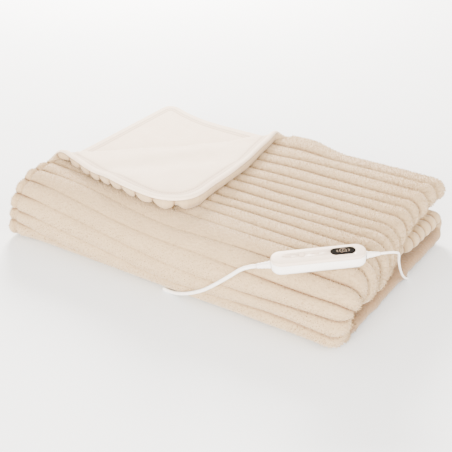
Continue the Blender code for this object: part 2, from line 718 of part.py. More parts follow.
def smooth_curve(points):
    """Points along a smooth curve through the given ones, ROUTE_STEP apart."""
    ends = [2 * points[0] - points[1]] + points + [2 * points[-1] - points[-2]]
    fine = []
    for before, start, end, after in zip(ends, ends[1:], ends[2:], ends[3:]):
        for step in range(CURVE_STEPS):
            t = step / CURVE_STEPS
            fine.append(0.5 * (2 * start + (end - before) * t
                               + (2 * before - 5 * start + 4 * end - after) * t ** 2
                               + (3 * (start - end) + after - before) * t ** 3))
    fine.append(points[-1])
    lengths = [0.0]
    for near, far in zip(fine, fine[1:]):
        lengths.append(lengths[-1] + (far - near).length)
    count = max(round(lengths[-1] / ROUTE_STEP), 2)
    read = []
    for number in range(count + 1):
        target = lengths[-1] * number / count
        index = max(i for i, length in enumerate(lengths) if length <= target + 1e-12)
        index = min(index, len(fine) - 2)
        share = (target - lengths[index]) / (lengths[index + 1] - lengths[index])
        read.append(fine[index].lerp(fine[index + 1], share))
    return read


def tube(name, points, diameter, collection, material, closed=False):
    curve = bpy.data.curves.new(name, "CURVE")
    curve.dimensions = "3D"
    curve.bevel_depth = diameter / 2
    curve.bevel_resolution = 2
    curve.use_fill_caps = not closed
    spline = curve.splines.new("POLY")
    spline.points.add(len(points) - 1)
    for place, point in zip(spline.points, points):
        place.co = (*point, 1.0)
    spline.use_cyclic_u = closed
    spline.use_smooth = True
    return add_object(name, curve, collection, material)


def build_leads(parts, materials, pose):
    """Both leads, from their strain reliefs' tips, and the wound length with its plug."""
    reach = CONTROL_SIZE.x / 2 + GAP + RELIEF_LENGTH + LEAD_GAP
    for name, route, diameter, side in (
        ("blanket_lead", BLANKET_ROUTE, BLANKET_LEAD, -1),
        ("supply_lead", SUPPLY_ROUTE, SUPPLY_LEAD, 1),
    ):
        start = pose.matrix_world @ Vector((side * reach, 0.0, 0.0))
        onward = pose.matrix_world @ Vector((side * (reach + LEAD_START), 0.0, 0.0))
        tube(name, smooth_curve([start, onward] + from_route(route)), diameter, parts, materials["lead"])

    bpy.ops.mesh.primitive_torus_add(
        major_radius=COIL_RADIUS, minor_radius=COIL_WIDTH / 2, major_segments=28, minor_segments=10,
        location=COIL_AT - PACK_CENTRE,
    )
    coil = bpy.context.object
    coil.name = coil.data.name = "lead_coil"
    coil.scale.z = COIL_HEIGHT / COIL_WIDTH
    coil.data.materials.append(materials["lead"])
    coil.data.shade_smooth()
    for collection in list(coil.users_collection):
        collection.objects.unlink(coil)
    parts.objects.link(coil)

    outward_way = Vector((cos(TIE_ANGLE), sin(TIE_ANGLE), 0.0))
    middle = COIL_AT - PACK_CENTRE + outward_way * COIL_RADIUS
    across = COIL_WIDTH / 2 + LEAD_GAP + TIE_THICKNESS / 2
    upward = COIL_HEIGHT / 2 + LEAD_GAP + TIE_THICKNESS / 2
    loop = []
    for step in range(TIE_POINTS):
        angle = 2 * pi * step / TIE_POINTS
        loop.append(middle + outward_way * across * cos(angle) + Vector((0, 0, upward)) * sin(angle))
    tube("coil_tie", loop, TIE_THICKNESS, parts, materials["rubber"], closed=True)
    tube("supply_tail", smooth_curve(from_route(TAIL_ROUTE)), SUPPLY_LEAD, parts, materials["lead"])
    build_plug(parts, materials)


def build_plug(parts, materials):
    """A plain low-voltage plug: its grip and its metal shell."""
    at = PLUG_AT - PACK_CENTRE
    grip = pill_block("plug_grip", GRIP_SIZE, GRIP_CORNER, parts, materials["rubber"])
    round_rim(grip, GRIP_ROUND, 2, True)
    round_rim(grip, GRIP_ROUND, 2, False)
    grip.location = at + Vector((-GRIP_SIZE.x / 2 - GAP, 0.0, -GRIP_SIZE.z / 2))
    shell = pill_block("plug_shell", SHELL_SIZE, SHELL_CORNER, parts, materials["metal"])
    shell.location = grip.location + Vector((-(GRIP_SIZE.x + SHELL_SIZE.x) / 2 - GAP, 0.0, 0.0))
    shell.location.z += (GRIP_SIZE.z - SHELL_SIZE.z) / 2
    smooth_by_angle(shell.data)


# ---------------------------------------------------------------- assembly
def main():
    clear_scene()
    parts = new_collection("heated_blanket")
    cutters = new_collection("cutters", hidden=True)
    plush = new_material("beige_ribbed_plush", (0.68, 0.58, 0.46), 0.95)
    white = new_material("white_plush", (0.86, 0.83, 0.79), 0.95)
    materials = {
        "shell": new_material("gloss_white_plastic", (0.88, 0.86, 0.83), 0.25),
        "cover": new_material("warm_white_plastic", (0.76, 0.70, 0.64), 0.45),
        "window": new_material("dark_window", (0.035, 0.030, 0.027), 0.15),
        "key": new_material("soft_key", (0.80, 0.75, 0.69), 0.5),
        "rubber": new_material("white_rubber", (0.84, 0.82, 0.79), 0.5),
        "lead": new_material("white_lead", (0.84, 0.82, 0.79), 0.45),
        "metal": new_material("bright_metal", (0.62, 0.62, 0.62), 0.3, 1.0),
    }
    blanket_panel("blanket_face", True, parts, plush)
    blanket_panel("blanket_back", False, parts, white)
    pose = build_controller(parts, cutters, materials)
    build_leads(parts, materials, pose)


main()
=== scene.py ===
"""Electric heated blanket, folded, with one corner turned back and its controller on it.

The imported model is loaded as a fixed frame, and the finer cloth, pile, stitches, leads and
controller shells take the place of its plain solids. World metres. The cloth is worked out
in the pack's own frame, whose positions less PACK_CENTRE are world positions.
"""
from collections import namedtuple
from math import cos, exp, pi, radians, sin, sqrt

import bmesh
import bpy
import numpy as np
from mathutils import Matrix, Vector, noise


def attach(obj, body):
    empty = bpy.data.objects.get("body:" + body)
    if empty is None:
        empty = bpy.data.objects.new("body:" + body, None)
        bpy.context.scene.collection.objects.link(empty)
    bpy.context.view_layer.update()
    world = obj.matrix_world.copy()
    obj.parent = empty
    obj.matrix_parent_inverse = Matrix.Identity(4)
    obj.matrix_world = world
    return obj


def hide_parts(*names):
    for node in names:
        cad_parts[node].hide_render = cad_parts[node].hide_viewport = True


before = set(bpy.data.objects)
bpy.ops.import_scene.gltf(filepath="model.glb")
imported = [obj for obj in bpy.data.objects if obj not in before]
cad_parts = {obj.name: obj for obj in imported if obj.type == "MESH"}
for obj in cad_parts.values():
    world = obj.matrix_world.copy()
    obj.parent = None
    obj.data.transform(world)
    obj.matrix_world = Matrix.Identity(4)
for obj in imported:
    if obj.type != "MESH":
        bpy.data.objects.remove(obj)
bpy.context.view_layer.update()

BODY = "root"
PACK_CENTRE = Vector((0.22526, 0.14861, 0.0))

# ---------------------------------------------------------------- camera
CAMERA_AT = (0.52822, -0.82987, 0.56649)
CAMERA_AZIMUTH = radians(33.031)
CAMERA_DOWN = radians(29.434)
CAMERA_LENS = 71.68        # millimetres, for this width of sensor
SENSOR_WIDTH = 36.0


def add_camera():
    camera = bpy.data.cameras.new("photo_camera")
    camera.lens = CAMERA_LENS
    camera.sensor_width = SENSOR_WIDTH
    placed = bpy.data.objects.new("photo_camera", camera)
    placed.location = CAMERA_AT
    placed.rotation_euler = (pi / 2 - CAMERA_DOWN, 0.0, CAMERA_AZIMUTH)
    bpy.context.scene.collection.objects.link(placed)
    bpy.context.scene.camera = placed


# ---------------------------------------------------------------- small helpers
def smooth(share):
    """Ease from 0 to 1."""
    share = min(max(share, 0.0), 1.0)
    return share * share * (3.0 - 2.0 * share)


def mix(start, end, share):
    return start + (end - start) * share


def spaced(start, end, step):
    """Places from start, about a step apart, without the end."""
    count = max(round((end - start) / step), 1)
    return [mix(start, end, number / count) for number in range(count)]


def add_object(name, data, material):
    """A new piece with its finish, at the origin."""
    piece = bpy.data.objects.new(name, data)
    bpy.context.scene.collection.objects.link(piece)
    if material.name not in data.materials:
        data.materials.append(material)
    return piece


def finish_piece(piece, slot_name, *nodes):
    """Say what the piece rides on and which CAD nodes it stands for; the finish it is given is not
    used.
    """
    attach(piece, BODY)
    if nodes:
        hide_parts(*nodes)
    return piece


# ---------------------------------------------------------------- materials
def shader_tree(name, roughness, **settings):
    """A new material, its tree and its Principled shader with plain settings on its sockets."""
    made = bpy.data.materials.new(name)
    made.use_nodes = True
    shader = made.node_tree.nodes["Principled BSDF"]
    shader.inputs["Roughness"].default_value = roughness
    for key, value in settings.items():
        shader.inputs[key.replace("_", " ")].default_value = value
    return made, made.node_tree, shader


def add_node(tree, kind, inputs, **settings):
    """A new node with its settings made, and its inputs linked or set to plain values."""
    node = tree.nodes.new(kind)
    for key, value in settings.items():
        setattr(node, key, value)
    for socket, value in inputs.items():
        if isinstance(value, bpy.types.NodeSocket):
            tree.links.new(value, node.inputs[socket])
        else:
            node.inputs[socket].default_value = value
    return node


def add_noise(tree, place, scale, detail=2.0):
    inputs = {"Vector": place, "Scale": scale, "Detail": detail}
    return add_node(tree, "ShaderNodeTexNoise", inputs).outputs["Fac"]


def add_ramp(tree, share, *stops):
    """Colours at places from 0 to 1."""
    ramp = tree.nodes.new("ShaderNodeValToRGB")
    ramp.color_ramp.elements[0].position = stops[0][0]
    ramp.color_ramp.elements[-1].position = stops[-1][0]
    for position, _ in stops[1:-1]:
        ramp.color_ramp.elements.new(position)
    for element, (_, colour) in zip(ramp.color_ramp.elements, stops):
        element.color = (*colour, 1.0)
    tree.links.new(share, ramp.inputs["Fac"])
    return ramp.outputs["Color"]


def multiply(tree, first, second, share=1.0):
    """Two colours multiplied, by a share."""
    inputs = {0: share, 6: first, 7: second}
    return add_node(tree, "ShaderNodeMix", inputs, data_type="RGBA", blend_type="MULTIPLY").outputs[2]


def add_bump(tree, shader, height, strength, distance, under=None):
    inputs = {"Height": height, "Strength": strength, "Distance": distance}
    if under:
        inputs["Normal"] = under
    normal = add_node(tree, "ShaderNodeBump", inputs).outputs["Normal"]
    tree.links.new(normal, shader.inputs["Normal"])
    return normal


def stored(tree, name, output):
    """A value that is stored on the mesh."""
    return add_node(tree, "ShaderNodeAttribute", {}, attribute_name=name).outputs[output]


def cloth_place(tree):
    """The place on the flat cloth, in metres."""
    return stored(tree, "flat_place", "Vector")


def object_place(tree):
    return add_node(tree, "ShaderNodeTexCoord", {}).outputs["Object"]


WHOLE = (1.0, 1.0, 1.0)
# colours by pile height; the groove colour is painted shade in the ribs' grooves
GROOVE_PAINTED_SHADE = (0.220, 0.118, 0.054)
RIB_BEIGE = (0.492, 0.362, 0.208)
CREST_BEIGE = (0.552, 0.417, 0.252)
PATCH_SHADE = (0.92, 0.91, 0.90)
SPECKLE_SHADE = (0.88, 0.865, 0.84)
PATCHES = 38.0             # noise scales, for each metre
SPECKLES = 360.0
CLUMPS = 260.0
TUFTS = 800.0
SHEEN_TINT = (1.0, 0.95, 0.88, 1.0)


def plush_material():
    """Short beige pile: painted shade darkens it down in the grooves and on its plain stretches;
    brushed in soft patches, pale at its tips.
    """
    made, tree, shader = shader_tree(
        "beige_ribbed_plush", 0.92, Sheen_Weight=0.35, Sheen_Roughness=0.45, Sheen_Tint=SHEEN_TINT,
    )
    place = cloth_place(tree)
    height = stored(tree, "pile_height", "Fac")
    by_height_with_painted_shade = add_ramp(tree, height, (0.12, GROOVE_PAINTED_SHADE), (0.62, RIB_BEIGE), (1.0, CREST_BEIGE))
    patches = add_noise(tree, place, PATCHES, 3.0)
    brushed = add_ramp(tree, patches, (0.30, PATCH_SHADE), (0.72, WHOLE))
    speckles = add_noise(tree, place, SPECKLES, 3.0)
    speckled = add_ramp(tree, speckles, (0.32, SPECKLE_SHADE), (0.62, WHOLE))
    colour = multiply(tree, by_height_with_painted_shade, brushed)
    tree.links.new(multiply(tree, colour, speckled, 0.8), shader.inputs["Base Color"])
    clumps = add_bump(tree, shader, add_noise(tree, place, CLUMPS, 3.0), 0.80, 0.0018)
    add_bump(tree, shader, add_noise(tree, place, TUFTS, 1.0), 0.60, 0.0007, clumps)
    return made


FLEECE_LOW = (0.880, 0.732, 0.582)
FLEECE_HIGH = (0.925, 0.790, 0.645)
NAP_SHADE = (0.95, 0.945, 0.94)
SEAM_AND_PAINTED_SHADE = (0.64, 0.57, 0.51)
FLEECE_PATCHES = 45.0      # noise scales, for each metre
FLEECE_LOFT = 130.0
NAP = 800.0
FINE_NAP = 1000.0


def fleece_material():
    """Smooth white fleece with a fine nap, darker on its seams, and with painted shade behind the
    crease's roll.
    """
    made, tree, shader = shader_tree("white_fleece", 0.90, Sheen_Weight=0.25, Sheen_Roughness=0.5)
    place = cloth_place(tree)
    patches = add_noise(tree, place, FLEECE_PATCHES, 3.0)
    soft = add_ramp(tree, patches, (0.30, FLEECE_LOW), (0.70, FLEECE_HIGH))
    fine = add_ramp(tree, add_noise(tree, place, NAP, 2.0), (0.30, NAP_SHADE), (0.65, WHOLE))
    # the dark end colours the seams, and the painted shade behind the crease's roll
    pressed = add_ramp(tree, stored(tree, "pile_height", "Fac"), (0.0, SEAM_AND_PAINTED_SHADE), (0.9, WHOLE))
    colour = multiply(tree, soft, fine)
    tree.links.new(multiply(tree, colour, pressed), shader.inputs["Base Color"])
    loft = add_bump(tree, shader, add_noise(tree, place, FLEECE_LOFT, 2.0), 0.25, 0.0010)
    add_bump(tree, shader, add_noise(tree, place, FINE_NAP, 1.0), 0.30, 0.0004, loft)
    return made


# Plastic, rubber, thread and metal. low, high: colours it clouds between; grain: its scale.
Plain = namedtuple("Plain", "name low high roughness grain bump")
PLAIN = {
    "thread": Plain("cream_thread", (0.74, 0.70, 0.64), (0.84, 0.80, 0.75), 0.70, 3000.0, 0.30),
    "shell": Plain("gloss_white_plastic", (0.90, 0.885, 0.86), (0.94, 0.93, 0.91), 0.22, 900.0, 0.03),
    "cover": Plain("warm_white_plastic", (0.80, 0.67, 0.56), (0.84, 0.71, 0.60), 0.42, 4000.0, 0.15),
    "window": Plain("dark_window", (0.004, 0.0035, 0.003), (0.007, 0.006, 0.005), 0.40, 700.0, 0.02),
    "mark": Plain("pale_mark", (0.26, 0.18, 0.12), (0.32, 0.23, 0.16), 0.50, 2500.0, 0.10),
    "key": Plain("soft_key", (0.64, 0.50, 0.39), (0.69, 0.55, 0.44), 0.55, 3000.0, 0.25),
    "rubber": Plain("white_rubber", (0.86, 0.84, 0.81), (0.90, 0.885, 0.86), 0.45, 2500.0, 0.20),
    "lead": Plain("white_lead", (0.88, 0.86, 0.83), (0.92, 0.905, 0.88), 0.38, 1800.0, 0.12),
    "metal": Plain("bright_metal", (0.58, 0.57, 0.56), (0.66, 0.65, 0.64), 0.28, 1500.0, 0.08),
}
SPECIAL = {
    "shell": {"Coat_Weight": 0.35, "Coat_Roughness": 0.12},
    "window": {"IOR": 1.05},
    "metal": {"Metallic": 1.0},
}
CLOUDS = 60.0
GRAIN_DEPTH = 0.0002


def plain_material(look, special):
    """A slight cloudiness and a fine grain."""
    made, tree, shader = shader_tree(look.name, look.roughness, **special)
    place = object_place(tree)
    cloudy = add_ramp(tree, add_noise(tree, place, CLOUDS), (0.30, look.low), (0.70, look.high))
    tree.links.new(cloudy, shader.inputs["Base Color"])
    add_bump(tree, shader, add_noise(tree, place, look.grain, 1.0), look.bump, GRAIN_DEPTH)
    return made


def make_materials():
    made = {key: plain_material(look, SPECIAL.get(key, {})) for key, look in PLAIN.items()}
    made["plush"] = plush_material()
    made["fleece"] = fleece_material()
    return made


# ---------------------------------------------------------------- the controller's place
CONTROL_AT = Vector((0.4090, 0.0200, 0.0896))
CONTROL_YAW = radians(37.7)
CONTROL_PITCH = radians(3.9)            # right end up
CONTROL_ROLL = radians(5.0)             # towards the front
CONTROL_SIZE = Vector((0.0970, 0.0228, 0.0166))
CONTROL_POSE = (
    Matrix.Translation(CONTROL_AT - PACK_CENTRE)
    @ Matrix.Rotation(CONTROL_YAW, 4, "Z")
    @ Matrix.Rotation(-CONTROL_PITCH, 4, "Y")
    @ Matrix.Rotation(CONTROL_ROLL, 4, "X")
)
GAP = 0.0003
RELIEF_LENGTH = 0.0145
RELIEF_ROOT = 0.0040
RELIEF_RINGS = 4

# ---------------------------------------------------------------- the leads
BLANKET_LEAD = 0.0042      # diameters
SUPPLY_LEAD = 0.0026
LEAD_GAP = 0.0005
LEAD_START = 0.005         # a lead leaves its relief straight for this length
LEAD_STEP = 0.003          # between the points read from a lead's smooth curve

# Where each lead runs, in centimetres of the pack's frame.
BLANKET_ROUTE = (
    (35.17, -2.32, 8.36), (34.83, -2.40, 8.21), (34.54, -2.41, 7.99), (34.05, -2.35, 7.58),
    (32.80, -2.03, 6.32), (31.50, -1.76, 5.08), (30.40, -1.63, 4.07),
    (29.30, -1.52, 3.15), (28.20, -1.38, 2.37), (27.05, -1.20, 1.67), (26.10, -1.02, 1.17),
    (25.25, -0.78, 0.75), (24.60, -0.57, 0.45), (23.95, -0.41, 0.28), (23.35, -0.32, 0.22),
    (22.80, -0.27, 0.22),
)
SUPPLY_ROUTE = (
    (46.78, 6.90, 9.30), (47.06, 7.72, 8.90), (46.86, 8.66, 8.08), (46.55, 9.55, 7.10),
    (46.35, 10.25, 6.20),
    (46.15, 11.30, 4.85), (45.95, 12.60, 3.35), (45.75, 13.95, 2.15), (45.55, 15.30, 1.20),
    (45.30, 16.35, 0.52), (44.85, 17.40, 0.20), (44.10, 18.90, 0.145), (43.45, 21.00, 0.145),
    (43.10, 24.00, 0.145), (42.70, 27.00, 0.145), (41.90, 29.60, 0.145), (40.30, 31.40, 0.16),
    (38.55, 32.30, 0.30), (37.55, 33.00, 0.34), (37.14, 33.80, 0.34),
)
COIL_AT = Vector((0.3500, 0.3460, 0.0060))
COIL_RADII = (0.0208, 0.01814, 0.01548, 0.01282, 0.01016)   # its five columns of turns
COIL_LAYERS = (-0.0026, 0.0, 0.0026)                        # and its three layers
COIL_STEPS = 24                                             # points for each turn
COIL_CHANGE = 10           # the last points of a turn move over to the next column or layer
COIL_LAST = 8              # the last turn ends after so many points
TAIL_ROUTE = (
    (34.20, 35.32, 1.00), (33.92, 34.93, 1.10), (33.73, 34.50, 1.14), (33.56, 34.08, 1.14),
    (33.28, 33.72, 1.12), (32.92, 33.47, 1.02), (32.45, 33.28, 0.80), (31.90, 33.10, 0.58),
    (31.10, 32.97, 0.44), (30.40, 32.95, 0.42), (29.80, 32.95, 0.42),
)


def from_route(route):
    return [Vector(point) / 100 - PACK_CENTRE for point in route]


def smooth_curve(points, step):
    """Points along a smooth curve through the given ones, about a step apart."""
    ends = [2 * points[0] - points[1]] + points + [2 * points[-1] - points[-2]]
    read = []
    for before, start, end, after in zip(ends, ends[1:], ends[2:], ends[3:]):
        count = max(round((end - start).length / step), 1)
        for number in range(count):
            t = number / count
            read.append(0.5 * (2 * start + (end - before) * t
                               + (2 * before - 5 * start + 4 * end - after) * t ** 2
                               + (3 * (start - end) + after - before) * t ** 3))
    read.append(points[-1])
    return read


def coil_slot(turn):
    """Radius and height of a turn: in along the lowest layer, out along the next, and so on."""
    layer, column = divmod(turn, len(COIL_RADII))
    if layer % 2:
        column = len(COIL_RADII) - 1 - column
    return COIL_RADII[column], COIL_LAYERS[layer]


def coil_points():
    """The wound length, turn beside turn. A turn changes layer before it changes column."""
    middle = COIL_AT - PACK_CENTRE
    turns = len(COIL_RADII) * len(COIL_LAYERS)
    points = []
    for turn in range(turns):
        radius, level = coil_slot(turn)
        next_radius, next_level = coil_slot(min(turn + 1, turns - 1))
        last = COIL_LAST if turn == turns - 1 else COIL_STEPS
        for step in range(last):
            change = max(step - (COIL_STEPS - COIL_CHANGE), 0) / COIL_CHANGE
            way = 2 * pi * step / COIL_STEPS
            reach = mix(radius, next_radius, smooth(2.0 * change - 1.0))
            rise = mix(level, next_level, smooth(2.0 * change))
            points.append(middle + Vector((reach * cos(way), reach * sin(way), rise)))
    return points


def line_curve(name, points):
    """A curve with straight pieces through the points."""
    curve = bpy.data.curves.new(name, "CURVE")
    curve.dimensions = "3D"
    spline = curve.splines.new("POLY")
    spline.points.add(len(points) - 1)
    for place, point in zip(spline.points, points):
        place.co = (*point, 1.0)
    return curve


def add_tube(name, points, diameter, material):
    curve = line_curve(name, points)
    curve.bevel_depth = diameter / 2
    curve.bevel_resolution = 4
    curve.use_fill_caps = True
    curve.splines[0].use_smooth = True
    return add_object(name, curve, material)


def lead_start(side):
    """Where a lead leaves its strain relief, and the point straight on from there."""
    reach = CONTROL_SIZE.x / 2 + GAP + RELIEF_LENGTH + LEAD_GAP
    return [CONTROL_POSE @ Vector((side * step, 0.0, 0.0)) for step in (reach, reach + LEAD_START)]


def add_leads(materials):
    start = lead_start(-1)
    route = smooth_curve(start + from_route(BLANKET_ROUTE), LEAD_STEP)
    lead = add_tube("lead_to_blanket", route, BLANKET_LEAD, materials["lead"])
    finish_piece(lead, "white_lead", "blanket_lead")

    start = lead_start(1)
    wound = coil_points()
    route = smooth_curve(start + from_route(SUPPLY_ROUTE) + [wound[0]], LEAD_STEP)[:-1]
    tail = smooth_curve([wound[-1]] + from_route(TAIL_ROUTE), LEAD_STEP)[1:]
    route = route + wound + tail
    lead = add_tube("lead_to_supply", route, SUPPLY_LEAD, materials["lead"])
    finish_piece(lead, "white_lead", "supply_lead", "lead_coil", "supply_tail")


# ---------------------------------------------------------------- the folded cloth
BACK_EDGE = 0.297          # y of the hems at the back of the top layers
TOP_LEVEL = 0.0695         # z of the middle of the top pair of layers
MIDDLE_LEVEL = 0.0318      # z of the middle of the inner pair
BOTTOM_LEVEL = 0.008       # z of the middle of the bottom pair
SHOULDER_RADIUS = 0.033    # front fold, upper bend
HEEL_RADIUS = 0.019        # front fold, lower bend
BACK_RADIUS = (MIDDLE_LEVEL - BOTTOM_LEVEL) / 2
FRONT_RISE = TOP_LEVEL - BOTTOM_LEVEL - SHOULDER_RADIUS - HEEL_RADIUS

# One way along the section: a straight stretch has turn 0, a bend turns by that many degrees.
Stretch = namedtuple("Stretch", "length turn")
SECTION = (
    Stretch(0.2595, 0),                             # top pair, from its back hem to the front
    Stretch(SHOULDER_RADIUS * radians(90), 90),
    Stretch(FRONT_RISE, 0),
    Stretch(HEEL_RADIUS * radians(90), 90),
    Stretch(0.2376, 0),                             # bottom pair, to the back
    Stretch(BACK_RADIUS * radians(180), 180),
    Stretch(0.2010, 0),                             # inner pair, forward again
)

PANEL_GAP = 0.0006         # between the face panel and the back panel
BACK_THICKNESS = 0.0015    # white back panel
HALF_PAIR = 0.003          # from the middle of a pair to the joint between its panels
GROOVE = 0.42              # depth of pile left in a groove, as a share of the rib's
RIB = 0.0217               # rib pitch on the flat cloth
CLOSE_RIB = 0.0195         # the pitch on the right, past the ribs that spread at the back
SPREAD = 0.043             # by so much in all
SPREAD_RIBS = 2.6          # and mostly over so many ribs
FAN_LENGTH = 0.25          # the spread is full this far from the left hems
TOP_RIBS = 12
FRONT_RIB = 0.016          # pitch round the front fold, on the pair's middle
FRONT_RIBS = 5

SIDE = 0.4275              # flat cloth from the left hem to the right-hand bend
TURN = 0.02                # cloth in the bend itself
TOTAL = 2 * SIDE + TURN
TURNED_RADIUS = 0.048      # the turned corner is rounder than the one under it
CORNER_RADIUS = 0.022
HEM_ROUND = 0.006          # over which the face panel comes to its full depth
HEM_EDGE = 0.35            # its depth at the very edge, as a share
HEM_STITCH = 0.0105        # its sides' hems are stitched down this far in
STITCH_WIDTH = 0.0026
STITCH_PRESS = 0.42        # and pressed by this share there
KNOB_LENGTH = 0.016        # past which the ribs' ends are no longer notched
KNOB_GROOVE = 0.12         # depth left between their ends
FRONT_FLAT = 0.62          # the ribs are stretched flatter round the front by this share
FLAT_FROM = 8.6            # from this rib on
FLAT_RIBS = 2.2
FLAT_LEFT = 0.012          # between these distances from the left hems
FLAT_RIGHT = 0.27
FLAT_EASE = 0.05
FLAT_FADE = 0.11

# How the doubled cloth ends, along the section. run: distance along it; left: x of its hems;
# x_out: reach of the rib crests at the right; puff: how much wider that bend is than a flat one;
# crest, inner: depth of pile on the outer and the inner layer; relief: 1 where ribs stand out.
End = namedtuple("End", "run left x_out puff crest inner relief")
ENDS = (
    End(0.000, 0.002, 0.443, 0.0000, 0.0118, 0.0085, 1.0),
    End(0.060, 0.002, 0.445, 0.0020, 0.0118, 0.0090, 1.0),
    End(0.115, 0.002, 0.446, 0.0045, 0.0115, 0.0095, 1.0),
    End(0.137, 0.002, 0.447, 0.0048, 0.0115, 0.0095, 1.0),
    End(0.165, 0.002, 0.451, 0.0165, 0.0115, 0.0095, 1.0),
    End(0.185, 0.001, 0.454, 0.0180, 0.0115, 0.0095, 1.0),
    End(0.229, 0.000, 0.458, 0.0180, 0.0112, 0.0090, 1.0),
    End(0.266, 0.001, 0.459, 0.0085, 0.0095, 0.0070, 0.9),
    End(0.289, -0.001, 0.458, 0.0060, 0.0097, 0.0060, 0.9),
    End(0.319, -0.006, 0.455, 0.0025, 0.0118, 0.0050, 1.0),
    End(0.339, -0.010, 0.448, 0.0005, 0.0120, 0.0040, 1.0),
    End(0.366, -0.008, 0.450, 0.0000, 0.0054, 0.0030, 0.0),
    End(0.584, -0.004, 0.453, 0.0000, 0.0054, 0.0030, 0.0),
    End(0.604, -0.003, 0.449, 0.0000, 0.0070, 0.0030, 0.5),
    End(0.644, -0.002, 0.449, 0.0000, 0.0080, 0.0045, 1.0),
    End(0.686, -0.002, 0.448, 0.0000, 0.0080, 0.0045, 1.0),
    End(0.712, -0.002, 0.444, 0.0000, 0.0080, 0.0045, 1.0),
    End(0.735, -0.002, 0.424, 0.0000, 0.0070, 0.0045, 0.6),
    End(0.775, 0.000, 0.366, 0.0000, 0.0060, 0.0045, 0.0),
    End(0.839, 0.000, 0.355, 0.0000, 0.0070, 0.0060, 0.0),
)
EASE = 0.007
PUFF_RETURN = 0.045        # length over which a wide bend closes again
BOXY = 70.0                # a wide bend is squarer than a round one

# Uneven lie.
CORNER_DRAW = 0.031        # the back left corner is drawn out
CORNER_DRAW_LENGTH = 0.11
DRAW_FROM = 0.14           # from this y backwards
DRAW_EASE = 0.15
BACK_DROOP = 0.012         # the top pair droops over its back edge
DROOP_RUN = 0.08
DROOP_FROM = 0.25
DROOP_EASE = 0.06
RAGGED = 0.0035            # the ribs' right-hand ends are uneven by this much
RAGGED_READING = (0.9, 2.0, 5.0)        # where the noise is read for that, x for each rib
EDGE_LIFT = 0.0042         # the bottom pair's right edge is off the surface
LIFT_FROM = 0.395
LIFT_EASE = 0.03
BOTTOM_START = 0.345       # the bottom pair's part of the section
BOTTOM_END = 0.60
BOTTOM_EASE = 0.025
FLARE = 0.006              # the lowest ribs spread at their left ends
FLARE_LENGTH = 0.06
FLARE_MOST = 1.2           # as a share of that, for hems that lie farther out
FLARE_HEIGHT = 0.03        # below this height
FLARE_EASE = 0.02
FLARE_DEPTH = 0.05         # and so far behind the front
SWAY = 0.0015              # the ribs wander by this much
SWAY_TURNS = 21.0
SWAY_SHIFT = 1.9           # from one rib to the next
SWAY_END = 16.0            # up to this rib
SWAY_EASE = 2.0
FLAP_BOW = 0.018           # the turned corner's left hem bows outward
FLAP_BOW_WAY = Vector((-0.75, -0.66))
FLAP_BOW_WIDTH = 0.10
FLAP_BOW_SKEW = 1.6        # and mostly towards the corner

# The turned-back corner.
CREASE_LEFT = Vector((0.0, 0.046))      # where the crease meets the left hem, on the flat cloth
CREASE_BACK = Vector((0.228, 0.297))    # and the back hem
FLAP_TIP = Vector((0.2525, 0.0285))     # where the corner lies, before its rounding
ROLL_LEFT = 0.0150                      # radius of the crease at the left hem
ROLL_MIDDLE = 0.0058                    # in its middle
ROLL_BACK = 0.0105                      # and at the back hem
FLAP_RIDGE = 0.0040                     # past the crease a soft ridge rises by this much
RIDGE_AT = 0.024
RIDGE_WIDTH = 0.014
TROUGH = 0.0045                         # and past that the cloth sinks by this much
TROUGH_AT = 0.062
TROUGH_WIDTH = 0.022
CONTACT = 0.0238                        # layer on layer, rib crest on rib crest
SETTLE = 0.10                           # the corner settles to that over this length
PRESS_GAP = 0.0014


def row_at(run):
    """The row of ENDS that holds at this distance along the section."""
    if run <= ENDS[0].run:
        return ENDS[0]
    for near, far in zip(ENDS, ENDS[1:]):
        if run <= far.run:
            share = (run - near.run) / (far.run - near.run)
            return End(*(mix(a, b, share) for a, b in zip(near, far)))
    return ENDS[-1]


def end_at(run):
    """The same, eased over the kinks between the rows."""
    rows = [row_at(run + step * EASE) for step in (-1, 0, 1)]
    return End(*(sum(values) / 3 for values in zip(*rows)))


def section_at(run):
    """Point (y, z) on the middle of the pair, and the direction out of the fold there."""
    y, z, heading = BACK_EDGE, TOP_LEVEL, 0.0
    for number, stretch in enumerate(SECTION):
        last = number == len(SECTION) - 1
        step = run if last else min(run, stretch.length)
        if stretch.turn:
            radius = stretch.length / radians(stretch.turn)
            centre_y = y + sin(heading) * radius
            centre_z = z - cos(heading) * radius
            heading += step / radius
            y = centre_y - sin(heading) * radius
            z = centre_z + cos(heading) * radius
        else:
            y -= cos(heading) * step
            z -= sin(heading) * step
        run -= step
        if run <= 0.0:
            break
    return y, z, -sin(heading), cos(heading)


def sway(rib, x):
    """The ribs' unevenness, from -1 to 1. It is none at the back hem."""
    wave = sin(SWAY_TURNS * x + SWAY_SHIFT * rib)
    return wave * smooth(rib / SWAY_EASE) * (1.0 - smooth((rib - SWAY_END) / SWAY_EASE))


def run_at(rib, x):
    """Distance along the section of a place counted in ribs from the back hem."""
    top = min(rib, TOP_RIBS)
    spread = CLOSE_RIB * top + SPREAD * (1.0 - exp(-top / SPREAD_RIBS)) + SWAY * sway(rib, x)
    return mix(RIB * top, spread, smooth(x / FAN_LENGTH)) + FRONT_RIB * max(rib - TOP_RIBS, 0.0)


def rib_at(run):
    """The rib count at a place past the front fold, where the ribs are fully spread."""
    return TOP_RIBS + (run - run_at(TOP_RIBS, FAN_LENGTH)) / FRONT_RIB


LAST_RIB = rib_at(sum(stretch.length for stretch in SECTION))


def edge_lift(x):
    """How far the bottom pair's right edge is off the surface."""
    return EDGE_LIFT * smooth((x - LIFT_FROM) / LIFT_EASE)


